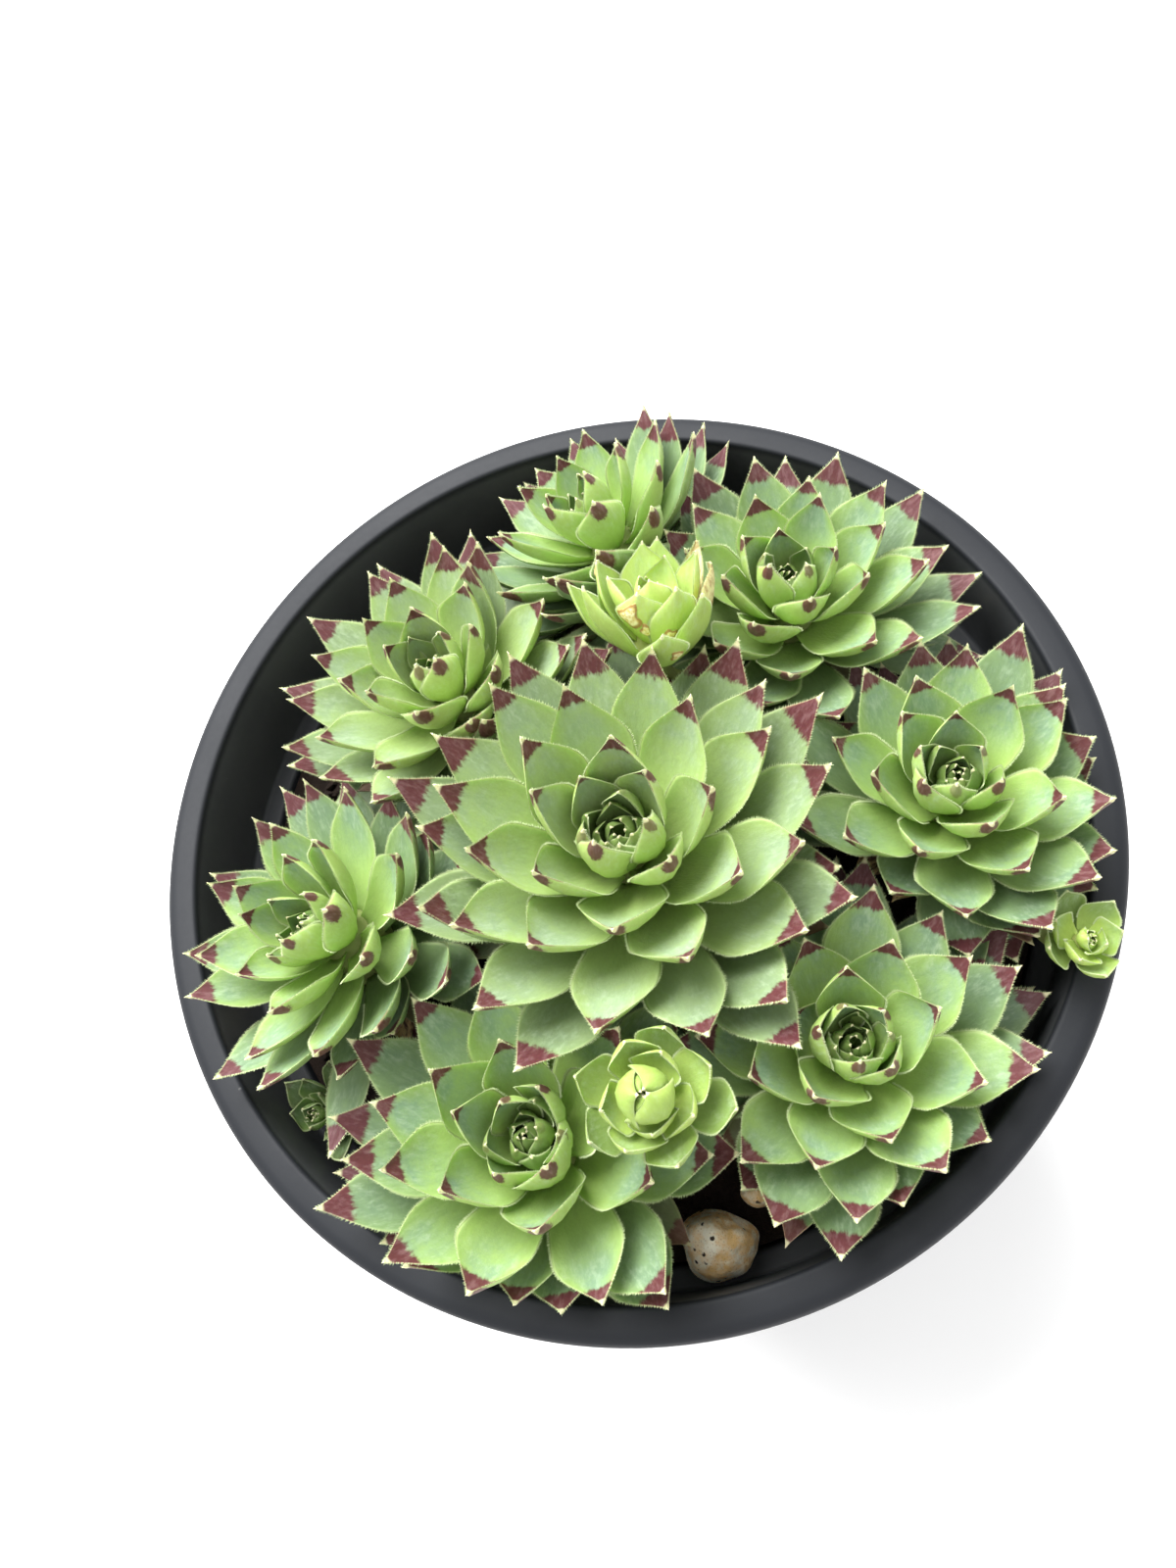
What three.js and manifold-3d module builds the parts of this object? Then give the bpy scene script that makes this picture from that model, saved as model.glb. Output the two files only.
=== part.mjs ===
// Hens and chicks (a clump of houseleeks) in a round plastic nursery pot.
// Units are millimetres, +Z is up, and the origin is the middle of the pot's underside.
//
// The clump is a mother rosette with seven grown offsets crowded round it and four young chicks on runners.
// Each rosette is one solid: fleshy leaves set in a golden-angle spiral round a short core, with a stem that
// stands in a plain hole in the soil. Crowded rosettes share the room between them: their leaves are placed one
// by one, youngest first, and a leaf that would cross another rosette bends up, swings aside or stays shorter.
import * as THREE from "three";
import { mergeVertices } from "three/addons/utils/BufferGeometryUtils.js";
import Module from "manifold-3d";

const wasm = await Module();
wasm.setup();

// ---------------------------------------------------------------- driving dimensions
const POT = {
  height: 120,
  rimRadius: 82.5,
  rimWidth: 5.8,
  skirtHeight: 9.5,
  wall: 1.4,
  collarDepth: 21,
  ledge: 3.2,
  baseRadius: 57,
  footHeight: 3,
  footWidth: 4,
  drainRadius: 4.5,
  drainCount: 6,
  segments: 40,
};
const SOIL = { edge: 97, crown: 9, gap: 0.35, rings: 4 };
const FIT = 0.3; // clearance between touching solids
const GOLDEN_ANGLE = 137.508;

// heart: top of the core, where the youngest leaves stand. lean: how far the axis tips, in degrees, and
// towards: the compass direction it tips to, from +X anticlockwise. open: how steep the grown leaves stay.
// curl: how far a young leaf bends up along its length.
const ROSETTES = [
  { name: "hen", heart: [5.5, -10.5, 136], lean: 4, towards: 95,
    leaves: 45, length: 40, width: 12.8, spin: 20 },
  { name: "offset_front_left", heart: [-6.5, -54.5, 128], lean: 8, towards: 115,
    leaves: 38, length: 33, width: 12, spin: 160 },
  { name: "offset_front_right", heart: [39.5, -39, 128], lean: 8, towards: 60,
    leaves: 37, length: 29, width: 11.4, spin: 300 },
  { name: "offset_right", heart: [55, 1.5, 129], lean: 8, towards: 75,
    leaves: 36, length: 28.5, width: 11.2, spin: 210 },
  { name: "offset_left", heart: [-45, -24, 129], lean: 19, towards: 180,
    leaves: 34, length: 29.5, width: 9.8, spin: 72 },
  { name: "offset_back_left", heart: [-30, 21.5, 128], lean: 8, towards: 140,
    leaves: 37, length: 31, width: 10.8, spin: 75 },
  { name: "offset_back_right", heart: [29.5, 37, 128], lean: 8, towards: 75,
    leaves: 36, length: 29.5, width: 10.8, spin: 130 },
  { name: "offset_back", heart: [-4.5, 53, 127], lean: 30, towards: 140,
    leaves: 29, length: 28, width: 9.2, spin: 10 },
  { name: "chick_back", heart: [8.5, 28, 139], lean: 32, towards: 95,
    leaves: 14, length: 18.5, width: 8.4, spin: 15,
    open: 72, curl: 40, mother: "offset_back_right" },
  { name: "chick_front", heart: [12.5, -48.5, 145], lean: 4, towards: 300,
    leaves: 16, length: 12.5, width: 7.6, spin: 95,
    open: 46, curl: 92, mother: "offset_front_left" },
  { name: "chick_rim", heart: [73, -21.5, 127.5], lean: 12, towards: 0,
    leaves: 12, length: 8.5, width: 6, spin: 45,
    open: 42, curl: 70, mother: "offset_right" },
  { name: "chick_low", heart: [-50, -51, 108], lean: 15, towards: 210,
    leaves: 12, length: 10, width: 5.6, spin: 0 },
];

const STONES = [
  { name: "pumice_large", at: [19.3, -67], size: [12.5, 10.5, 13], seed: 3 },
  { name: "pumice_small", at: [25, -58.5], size: [6, 5.5, 9.5], seed: 8 },
  { name: "pumice_chip", at: [-60, -28.5], size: [7, 4.5, 4.5], seed: 5 },
];

const material = (name, color, roughness) =>
  new THREE.MeshStandardMaterial({ name, color, roughness, metalness: 0 });
const BLACK_PLASTIC = material("black_plastic", 0x2a2b2d, 0.5);
const POTTING_MIX = material("potting_mix", 0x241a12, 0.95);
const GREEN_LEAF = material("green_leaf", 0x6f9a57, 0.5);
const YOUNG_LEAF = material("young_leaf", 0x9ccb4e, 0.45);
const PUMICE = material("pumice", 0xc9ae7c, 0.9);

// ---------------------------------------------------------------- small helpers
const rad = THREE.MathUtils.degToRad;
const clamp = THREE.MathUtils.clamp;
const mix = THREE.MathUtils.lerp;

// A repeatable draw from 0 to 1 for two whole numbers.
function draw(a, b) {
  const x = Math.sin(a * 12.9898 + b * 78.233) * 43758.5453;
  return x - Math.floor(x);
}
// The same from -1 to 1.
const spread = (a, b) => 2 * draw(a, b) - 1;

function solid(geometry) {
  const plain = geometry.clone();
  plain.deleteAttribute("normal");
  plain.deleteAttribute("uv");
  const merged = mergeVertices(plain, 1e-4);
  return new wasm.Manifold(
    new wasm.Mesh({
      numProp: 3,
      vertProperties: new Float32Array(merged.attributes.position.array),
      triVerts: new Uint32Array(merged.index.array),
    }),
  );
}

function meshOf(body, name, look) {
  const made = body.getMesh();
  const geometry = new THREE.BufferGeometry();
  geometry.setAttribute("position", new THREE.BufferAttribute(made.vertProperties, 3));
  geometry.setIndex(new THREE.BufferAttribute(made.triVerts, 1));
  geometry.computeVertexNormals();
  const mesh = new THREE.Mesh(geometry, look);
  mesh.name = name;
  return mesh;
}

// The outer skin of a fused body: hollows sealed inside it are filled, and loose scraps are dropped.
function outerBody(body) {
  const pieces = body.decompose();
  return pieces.reduce((best, piece) => (piece.volume() > best.volume() ? piece : best));
}

// A closed body of revolution about +Z from [radius, height] points that run anticlockwise in section.
function revolve(points, segments) {
  const profile = points.map(([r, z]) => new THREE.Vector2(r, z));
  return new THREE.LatheGeometry(profile, segments).rotateX(Math.PI / 2);
}

// ---------------------------------------------------------------- pot
// Inner radius of the pot at a height: the tapered body, then the wider collar under the rim.
const collarFoot = POT.height - POT.collarDepth;
const collarInner = POT.rimRadius - POT.rimWidth;
const bodyTop = collarInner - POT.ledge;
const panelTop = POT.footHeight + POT.wall;
function potInnerRadius(z) {
  if (z >= collarFoot) return collarInner - 0.8 + (0.8 * (z - collarFoot)) / POT.collarDepth;
  const share = clamp((z - panelTop) / (collarFoot - panelTop), 0, 1);
  return mix(POT.baseRadius - POT.wall, bodyTop - POT.wall, share);
}

function makePot() {
  const { height, rimRadius, skirtHeight, wall, baseRadius, footHeight, footWidth } = POT;
  const edge = 0.9; // rounding of the rim's corners
  const outside = [
    [0, footHeight],
    [baseRadius - footWidth, footHeight],
    [baseRadius - footWidth + 0.6, 0],
    [baseRadius - 0.6, 0],
    [baseRadius, 1],
    [bodyTop, collarFoot - wall],
    [collarInner + wall - 0.8, collarFoot - wall],
    [collarInner + wall, height - wall],
    [rimRadius - wall, height - wall],
    [rimRadius - wall, height - skirtHeight],
    [rimRadius, height - skirtHeight],
    [rimRadius, height - edge],
    [rimRadius - edge, height],
  ];
  const inside = [
    [collarInner + 0.4, height],
    [collarInner, height - 0.5],
    [collarInner - 0.8, collarFoot],
    [bodyTop - wall, collarFoot],
    [baseRadius - wall, panelTop],
    [0, panelTop],
  ];
  let body = solid(revolve([...outside, ...inside], POT.segments));
  const hole = new THREE.CylinderGeometry(POT.drainRadius, POT.drainRadius, 3 * footHeight, 16);
  hole.rotateX(Math.PI / 2);
  for (let i = 0; i < POT.drainCount; i++) {
    const turn = (i / POT.drainCount) * 2 * Math.PI;
    const out = baseRadius - footWidth - POT.drainRadius - 5;
    const cut = hole.clone().translate(out * Math.cos(turn), out * Math.sin(turn), footHeight);
    body = body.subtract(solid(cut));
  }
  return meshOf(body, "pot", BLACK_PLASTIC);
}

// ---------------------------------------------------------------- soil and stones, as heights and balls
// Height of the soil at a distance from the pot's axis.
const soilHeight = (r) => SOIL.edge + SOIL.crown * (1 - (r / collarInner) ** 2);

function stoneCentre(stone) {
  const [x, y] = stone.at;
  return [x, y, soilHeight(Math.hypot(x, y)) + FIT + 0.55 * stone.size[2]];
}

// ---------------------------------------------------------------- rosette frames
// A rosette's own frame: +Z is its axis and the origin is its heart.
function rosetteMatrix(rosette) {
  const towards = rad(rosette.towards);
  const tip = new THREE.Vector3(-Math.sin(towards), Math.cos(towards), 0);
  const turn = new THREE.Quaternion().setFromAxisAngle(tip, rad(rosette.lean));
  return new THREE.Matrix4().compose(new THREE.Vector3(...rosette.heart), turn, new THREE.Vector3(1, 1, 1));
}
for (const rosette of ROSETTES) {
  rosette.frame = rosetteMatrix(rosette);
  rosette.inverse = rosette.frame.clone().invert();
  rosette.coreRadius = 0.27 * rosette.length;
  rosette.coreDepth = 0.38 * rosette.length;
}
const place = (matrix, [x, y, z]) => new THREE.Vector3(x, y, z).applyMatrix4(matrix).toArray();
const mother = (chick) => ROSETTES.find((rosette) => rosette.name === chick.mother);

// The runner of a chick goes from its mother's core to just under its own core.
const RUNNER_RADIUS = 1.1;
function runnerPath(chick) {
  const foot = -chick.coreDepth - FIT;
  const from = new THREE.Vector3(...place(mother(chick).frame, [0, 0, -0.8 * mother(chick).coreDepth]));
  const under = new THREE.Vector3(...place(chick.frame, [0, 0, foot - 9]));
  const to = new THREE.Vector3(...place(chick.frame, [0, 0, foot]));
  return new THREE.CubicBezierCurve3(from, from.clone().lerp(under, 0.6), under, to);
}

// What isn't a leaf, as balls [x, y, z, radius] that the other rosettes' leaves keep clear of.
const BALLS = [];
for (const rosette of ROSETTES) {
  const { coreRadius: r, coreDepth: depth, heart } = rosette;
  const down = rosette.mother ? depth : heart[2] - SOIL.edge;
  for (let low = 0.25 * r; low < down; low += 2) {
    const radius = low < depth ? r * Math.min(1, 0.3 + low / depth) : 0.65 * r;
    BALLS.push({ owner: rosette, at: place(rosette.frame, [0, 0, -low]), radius });
  }
  if (rosette.mother) {
    for (const point of runnerPath(rosette).getPoints(12)) {
      BALLS.push({ owner: mother(rosette), at: point.toArray(), radius: RUNNER_RADIUS });
    }
  }
}
for (const stone of STONES) {
  BALLS.push({ owner: stone, at: stoneCentre(stone), radius: 0.55 * Math.max(...stone.size) });
}

// ---------------------------------------------------------------- leaves
// The plan of a leaf, from its number in the spiral: 0 is the youngest, in the heart. Young leaves stand up and
// close over the heart, grown ones lean out, and the oldest lie lowest.
function leafPlan(rosette, number) {
  const seed = ROSETTES.indexOf(rosette) + 1;
  const age = ((number + 0.5) / rosette.leaves) ** 0.9;
  const curl = (rosette.curl ?? 46) - 6 * age + 45 * (1 - THREE.MathUtils.smoothstep(age, 0, 0.3));
  const fan = 1 - THREE.MathUtils.smoothstep(age, 0.12, 0.67);
  const broad = 0.3 + 0.7 * Math.min(1, age / 0.36) ** 0.9;
  const rise = mix(rosette.open ?? 38, 79, fan) - 40 * Math.max(0, age - 0.85);
  return {
    age,
    curl,
    turn: rosette.spin + number * GOLDEN_ANGLE + 8 * spread(seed, number),
    length: rosette.length * (0.1 + 0.9 * age ** 0.5) * (1 + 0.06 * spread(seed, number + 100)),
    width: rosette.width * broad * (1 + 0.05 * spread(seed, number + 200)),
    pitch: rise - curl / 2 + 7 * spread(seed, number + 300),
    cup: 0.7 - 0.56 * age,
    thickness: mix(1, 2.4, Math.min(1, 2 * age)) * (rosette.length / 28) ** 0.5,
    attach: [rosette.coreRadius * (0.12 + 0.68 * age), -rosette.coreDepth * age ** 1.2],
  };
}

// Half the leaf's width at u from 0, its foot, to 1, its tip: waisted foot, widest at WIDEST, drawn-out point.
const WIDEST = 0.58;
function halfWidth(leaf, u) {
  const w = leaf.width / 2;
  if (u <= WIDEST) return w * (0.18 + 0.82 * Math.sin((Math.PI / 2) * (u / WIDEST)));
  return w * (0.5 + 0.5 * Math.cos((Math.PI * (u - WIDEST)) / (1 - WIDEST))) ** 0.7;
}
const KEEL = 1.3; // depth of the keel under the middle surface, as a share of the half thickness
const halfThickness = (leaf, u) => (leaf.thickness / 2) * Math.min(1, 0.4 + 1.2 * u) * (1 - 0.75 * u ** 3);

// A point of the leaf in its rosette's frame. u runs from foot to tip, v from -1 to 1 across, and lift is the
// height over the middle surface as a share of the half thickness.
function leafPoint(leaf, u, v, lift) {
  const bend = rad(leaf.curl);
  const start = rad(leaf.pitch);
  const along = leaf.length / bend;
  const angle = start + bend * u;
  const w = halfWidth(leaf, u);
  const up = leaf.cup * w * v * v + lift * halfThickness(leaf, u);
  const out = leaf.attach[0] + along * (Math.sin(angle) - Math.sin(start)) - up * Math.sin(angle);
  const high = leaf.attach[1] + along * (Math.cos(start) - Math.cos(angle)) + up * Math.cos(angle);
  const turn = rad(leaf.turn);
  const c = Math.cos(turn);
  const s = Math.sin(turn);
  return [out * c - v * w * s, out * s + v * w * c, high];
}

// Whether a point of the rosette's frame lies in the leaf, grown by a gap.
function inLeaf(leaf, [x, y, z], gap) {
  const turn = rad(leaf.turn);
  const bend = rad(leaf.curl);
  const start = rad(leaf.pitch);
  const along = leaf.length / bend;
  const out = x * Math.cos(turn) + y * Math.sin(turn) - leaf.attach[0] + along * Math.sin(start);
  const high = z - leaf.attach[1] - along * Math.cos(start);
  const u = (Math.atan2(out, -high) - start) / bend;
  if (u < 0 || u > 1 + gap / leaf.length) return false;
  const side = Math.abs(y * Math.cos(turn) - x * Math.sin(turn));
  const w = halfWidth(leaf, Math.min(1, u));
  if (side > w + gap) return false;
  const v = Math.min(1, side / (w + 0.01));
  const up = along - Math.hypot(out, high);
  const low = leaf.cup * w * v * v - KEEL * halfThickness(leaf, u) * (1 - v);
  return up > low - gap && up < leaf.cup * w + gap;
}

// Points of a leaf's skin that are tried against everything else.
const PROBE_ROWS = [0.3, 0.42, 0.54, 0.66, 0.78, 0.89];
const PROBE_SPOTS = [[-1, 0], [-0.5, -0.65], [0, -KEEL], [0, 0.5], [0.5, -0.65], [1, 0]];
function probesOf(leaf) {
  const rows = PROBE_ROWS.flatMap((u) => PROBE_SPOTS.map(([v, lift]) => leafPoint(leaf, u, v, lift)));
  return [...rows, leafPoint(leaf, 1, 0, 0)];
}

// Whether a leaf has room: inside the pot, over the soil, and clear of balls and of the leaves placed so far.
const GAP = 0.8;
const OWN_GAP = 0; // the same between leaves of one rosette, beyond their feet
const placed = [];
function hasRoom(trial) {
  const reach = trial.rosette.mother ? POT.rimRadius - 1.5 : collarInner + 1;
  for (const [x, y, z] of trial.world) {
    const r = Math.hypot(x, y);
    if (r > reach || z < soilHeight(r) + 0.7) return false;
    if (z < POT.height + 0.5 && r > potInnerRadius(z) - 0.8) return false;
  }
  for (const ball of BALLS) {
    if (ball.owner === trial.rosette) continue;
    if (trial.middle.distanceTo(new THREE.Vector3(...ball.at)) > trial.radius + ball.radius + 1) continue;
    if (inLeaf(trial.leaf, place(trial.rosette.inverse, ball.at), ball.radius + GAP)) return false;
  }
  for (const other of placed) {
    if (trial.middle.distanceTo(other.middle) > trial.radius + other.radius) continue;
    const own = other.rosette === trial.rosette;
    if (own && trial.leaf.age < 0.3) continue;
    const gap = own ? OWN_GAP : GAP;
    const first = own ? PROBE_SPOTS.length : 0;
    const hits = (point, leaf, inverse) => inLeaf(leaf, place(inverse, point), gap);
    if (trial.world.slice(first).some((p) => hits(p, other.leaf, other.rosette.inverse))) return false;
    if (other.world.slice(first).some((p) => hits(p, trial.leaf, trial.rosette.inverse))) return false;
  }
  return true;
}

// The ways to move a leaf that has no room, the smallest move first: raised or lowered, and swung aside.
const RAISES = [0, 5, -5, 10, -10, 15, 20, 26, 32, 40];
const SWINGS = [0, 8, -8, 16, -16];
const MOVES = RAISES.flatMap((raise) => SWINGS.map((swing) => ({ raise, swing })));
const effort = ({ raise, swing }) => Math.abs(raise) + 0.7 * Math.abs(swing);
MOVES.sort((a, b) => effort(a) - effort(b));
const SHORTENINGS = [1, 0.88, 0.76, 0.64];

function settle(rosette, number) {
  const plan = leafPlan(rosette, number);
  for (const share of SHORTENINGS) {
    for (const { raise, swing } of MOVES) {
      const leaf = { ...plan, length: plan.length * share, pitch: plan.pitch + raise, turn: plan.turn + swing };
      if (leaf.pitch > 80) continue;
      const world = probesOf(leaf).map((p) => place(rosette.frame, p));
      const middle = new THREE.Vector3(...place(rosette.frame, leafPoint(leaf, 0.55, 0, 0)));
      const trial = { rosette, leaf, world, middle, radius: 0.5 * leaf.length + 2 };
      if (hasRoom(trial)) {
        placed.push({ ...trial, share, raise, swing });
        return;
      }
    }
  }
}

// The chicks find room first and the hen next. The offsets then grow together, youngest leaves first.
const ROUNDS = 50;
const offsets = ROSETTES.filter((rosette) => rosette.name.startsWith("offset"));
function settleRound(rosette, round) {
  const from = Math.ceil((round / ROUNDS) * rosette.leaves);
  const to = Math.ceil(((round + 1) / ROUNDS) * rosette.leaves);
  for (let number = from; number < to; number++) settle(rosette, number);
}
for (const group of [ROSETTES.filter((one) => one.name.startsWith("chick")), [ROSETTES[0]], offsets]) {
  for (let round = 0; round < ROUNDS; round++) group.forEach((rosette) => settleRound(rosette, round));
}

// One leaf as a closed body: flat above and keeled below, with three-cornered rings and a point at the tip.
const STATIONS = { grown: [0, 0.4, 0.64, 0.84], bud: [0, 0.45, 0.75] };
function leafGeometry(leaf) {
  const stations = leaf.age < 0.38 ? STATIONS.bud : STATIONS.grown;
  const corners = [[-1, 0], [0, -KEEL], [1, 0]];
  const points = stations.flatMap((u) => corners.map(([v, lift]) => leafPoint(leaf, u, v, lift)));
  const tip = points.length;
  points.push(leafPoint(leaf, 1, 0, 0));
  const faces = [[0, 2, 1]];
  for (let ring = 0; ring < stations.length; ring++) {
    for (let k = 0; k < 3; k++) {
      const a = 3 * ring + k;
      const b = 3 * ring + ((k + 1) % 3);
      if (ring === stations.length - 1) faces.push([a, b, tip]);
      else faces.push([a, b, a + 3], [b, b + 3, a + 3]);
    }
  }
  const geometry = new THREE.BufferGeometry();
  geometry.setAttribute("position", new THREE.Float32BufferAttribute(points.flat(), 3));
  geometry.setIndex(faces.flat());
  return geometry;
}

// Core and stem below the heart, grown by a clearance to cut the hole that the stem stands in.
function stemGeometry(rosette, grow = 0) {
  const { coreRadius: r, coreDepth: depth, heart } = rosette;
  const foot = rosette.mother ? -depth : SOIL.edge - heart[2] - 6;
  const neck = 0.62 * r;
  const profile = [
    [0, foot - grow],
    [neck * 0.8 + grow, foot - grow],
    [neck + grow, Math.max(-depth * 1.1, foot + 0.5)],
    [r + grow, -depth * 0.8],
    [r * 0.62 + grow, -depth * 0.3],
    [0, 0.05 * depth],
  ];
  return revolve(profile, 6);
}

function makeRosette(rosette) {
  let body = solid(stemGeometry(rosette));
  for (const { leaf } of placed.filter((one) => one.rosette === rosette)) {
    body = body.add(solid(leafGeometry(leaf)));
  }
  for (const chick of ROSETTES.filter((one) => one.mother === rosette.name)) {
    const section = new THREE.Shape().absarc(0, 0, RUNNER_RADIUS, 0, 2 * Math.PI);
    const sweep = { extrudePath: runnerPath(chick), steps: 8, curveSegments: 6, bevelEnabled: false };
    body = body.add(solid(new THREE.ExtrudeGeometry(section, sweep).applyMatrix4(rosette.inverse)));
  }
  const young = rosette.name.startsWith("chick");
  const mesh = meshOf(outerBody(body), rosette.name, young ? YOUNG_LEAF : GREEN_LEAF);
  rosette.frame.decompose(mesh.position, mesh.quaternion, mesh.scale);
  return mesh;
}

// ---------------------------------------------------------------- soil and stones
function makeSoil() {
  const floor = panelTop + SOIL.gap;
  const fit = (z) => potInnerRadius(z) - SOIL.gap;
  const profile = [[0, floor], [fit(floor), floor]];
  for (let i = 0; i <= SOIL.rings; i++) {
    const r = fit(SOIL.edge) * (1 - i / SOIL.rings);
    profile.push([r, soilHeight(r)]);
  }
  let body = solid(revolve(profile, POT.segments));
  for (const rosette of ROSETTES) {
    if (!rosette.mother) body = body.subtract(solid(stemGeometry(rosette, FIT).applyMatrix4(rosette.frame)));
  }
  return meshOf(body, "soil", POTTING_MIX);
}

// A stone is a ball pushed in and out by a smooth repeatable bumpiness, flattened where it lies on the soil.
function makeStone(stone) {
  const ball = new THREE.IcosahedronGeometry(1, 2);
  const skin = ball.attributes.position;
  for (let i = 0; i < skin.count; i++) {
    const p = new THREE.Vector3().fromBufferAttribute(skin, i).normalize();
    const waves = [3.1 * p.x + stone.seed, 4.3 * p.y + 2 * stone.seed, 3.7 * p.z - stone.seed];
    p.multiplyScalar(1 + 0.07 * waves.reduce((sum, wave) => sum + Math.sin(wave), 0));
    skin.setXYZ(i, (p.x * stone.size[0]) / 2, (p.y * stone.size[1]) / 2, (p.z * stone.size[2]) / 2);
  }
  const mesh = meshOf(solid(ball), stone.name, PUMICE);
  mesh.geometry.computeBoundingBox();
  const [x, y] = stone.at;
  mesh.position.set(x, y, soilHeight(Math.hypot(x, y)) + FIT - mesh.geometry.boundingBox.min.z);
  return mesh;
}

// ---------------------------------------------------------------- the object
const plant = new THREE.Group();
plant.add(makePot(), makeSoil());
ROSETTES.forEach((rosette) => plant.add(makeRosette(rosette)));
STONES.forEach((stone) => plant.add(makeStone(stone)));

export default plant;
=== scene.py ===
# %% [markdown]
# # Hens and chicks in a nursery pot
# A crowded clump of houseleeks: a mother rosette, the hen, with seven grown offsets pressed round it and
# four young chicks, in a round black nursery pot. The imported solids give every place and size. Here each of
# them is swapped for a finer piece of the same form, with its finish.

# %% load the frame
import math
from itertools import combinations
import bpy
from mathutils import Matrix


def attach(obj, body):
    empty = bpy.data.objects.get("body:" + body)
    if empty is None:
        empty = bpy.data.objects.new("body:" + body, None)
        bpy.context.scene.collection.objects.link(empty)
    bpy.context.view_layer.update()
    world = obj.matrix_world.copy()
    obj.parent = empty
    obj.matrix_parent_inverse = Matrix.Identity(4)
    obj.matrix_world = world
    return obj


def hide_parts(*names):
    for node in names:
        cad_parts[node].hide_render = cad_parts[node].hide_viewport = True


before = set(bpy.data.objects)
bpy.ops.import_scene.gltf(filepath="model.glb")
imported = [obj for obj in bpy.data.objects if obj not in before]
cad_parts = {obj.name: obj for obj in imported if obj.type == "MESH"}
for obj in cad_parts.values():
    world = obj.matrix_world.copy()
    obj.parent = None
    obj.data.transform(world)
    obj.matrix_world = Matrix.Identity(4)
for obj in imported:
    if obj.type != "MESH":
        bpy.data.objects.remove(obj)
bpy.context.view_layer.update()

from types import SimpleNamespace
import bpy
import numpy as np
from mathutils import Matrix

MM = 0.001
print("nodes:", ", ".join(sorted(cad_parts)))

# %% [markdown]
# ## Sizes
# All sizes are in millimetres, in the frame of the solids: the origin is the middle of the pot's underside
# and +Z is up. A rosette is placed by its heart, the top of the short core that the youngest leaves stand
# on. `lean` tips its axis, in degrees, and `towards` is the direction it tips to, in degrees from +X to +Y.

# %% sizes
POT = SimpleNamespace(height=120, rim_radius=82.5, rim_width=5.8, skirt=9.5, wall=1.4, collar=21, ledge=3.2,
                      base_radius=57, foot=3, foot_width=4, drain_radius=4.5, drains=6)
COLLAR_FOOT = POT.height - POT.collar
COLLAR_INNER = POT.rim_radius - POT.rim_width
BODY_TOP = COLLAR_INNER - POT.ledge
PANEL_TOP = POT.foot + POT.wall
SOIL_EDGE, SOIL_CROWN = 97, 9
FIT = 0.3


def rosette(name, heart, lean, towards, leaves, length, width, spin, open=38, curl=46, mother=None):
    return SimpleNamespace(name=name, heart=np.array(heart, float), lean=lean, towards=towards, leaves=leaves,
                           length=length, width=width, spin=spin, open=open, curl=curl, mother=mother)


ROSETTES = [
    rosette("hen", (5.5, -10.5, 136), 4, 95, 45, 40, 12.8, 20),
    rosette("offset_front_left", (-6.5, -54.5, 128), 8, 115, 38, 33, 12, 160),
    rosette("offset_front_right", (39.5, -39, 128), 8, 60, 37, 29, 11.4, 300),
    rosette("offset_right", (55, 1.5, 129), 8, 75, 36, 28.5, 11.2, 210),
    rosette("offset_left", (-45, -24, 129), 19, 180, 34, 29.5, 9.8, 72),
    rosette("offset_back_left", (-30, 21.5, 128), 8, 140, 37, 31, 10.8, 75),
    rosette("offset_back_right", (29.5, 37, 128), 8, 75, 36, 29.5, 10.8, 130),
    rosette("offset_back", (-4.5, 53, 127), 30, 140, 29, 28, 9.2, 10),
    rosette("chick_back", (8.5, 28, 139), 32, 95, 14, 18.5, 8.4, 15, 72, 40, "offset_back_right"),
    rosette("chick_front", (12.5, -48.5, 145), 4, 300, 16, 12.5, 7.6, 95, 46, 92, "offset_front_left"),
    rosette("chick_rim", (73, -21.5, 127.5), 12, 0, 12, 8.5, 6, 45, 42, 70, "offset_right"),
    rosette("chick_low", (-50, -51, 108), 15, 210, 12, 10, 5.6, 0),
]
STONES = [
    SimpleNamespace(name="pumice_large", at=(19.3, -67), size=(12.5, 10.5, 13), seed=3),
    SimpleNamespace(name="pumice_small", at=(25, -58.5), size=(6, 5.5, 9.5), seed=8),
    SimpleNamespace(name="pumice_chip", at=(-60, -28.5), size=(7, 4.5, 4.5), seed=5),
]


def soil_height(r):
    """edge + crown (1 - (r / collar)^2)"""
    return SOIL_EDGE + SOIL_CROWN * (1 - (r / COLLAR_INNER) ** 2)


def pot_inner_radius(z):
    """A straight taper up the body, then the wider collar, which opens by 0.8 mm."""
    z = np.asarray(z, float)
    share = np.clip((z - PANEL_TOP) / (COLLAR_FOOT - PANEL_TOP), 0, 1)
    body = (POT.base_radius + (BODY_TOP - POT.base_radius) * share) - POT.wall
    collar = COLLAR_INNER - 0.8 + 0.8 * (z - COLLAR_FOOT) / POT.collar
    return np.where(z >= COLLAR_FOOT, collar, body)


def axes(one):
    """Rodrigues' turn by the lean a about k = (-sin t, cos t, 0), where [k] is the cross product with k:
    R = cos a I + sin a [k] + (1 - cos a) k k^T"""
    t, a = math.radians(one.towards), math.radians(one.lean)
    k = np.array([-math.sin(t), math.cos(t), 0])
    cross = np.array([[0, -k[2], k[1]], [k[2], 0, -k[0]], [-k[1], k[0], 0]])
    return math.cos(a) * np.eye(3) + math.sin(a) * cross + (1 - math.cos(a)) * np.outer(k, k)


for index, one in enumerate(ROSETTES):
    one.index = index
    one.turn = axes(one)
    one.core_radius = 0.27 * one.length
    one.core_depth = 0.38 * one.length
    one.chick = one.name.startswith("chick")
    one.slot = "young_leaf" if one.chick else "green_leaf"
by_name = {one.name: one for one in ROSETTES}


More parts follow.
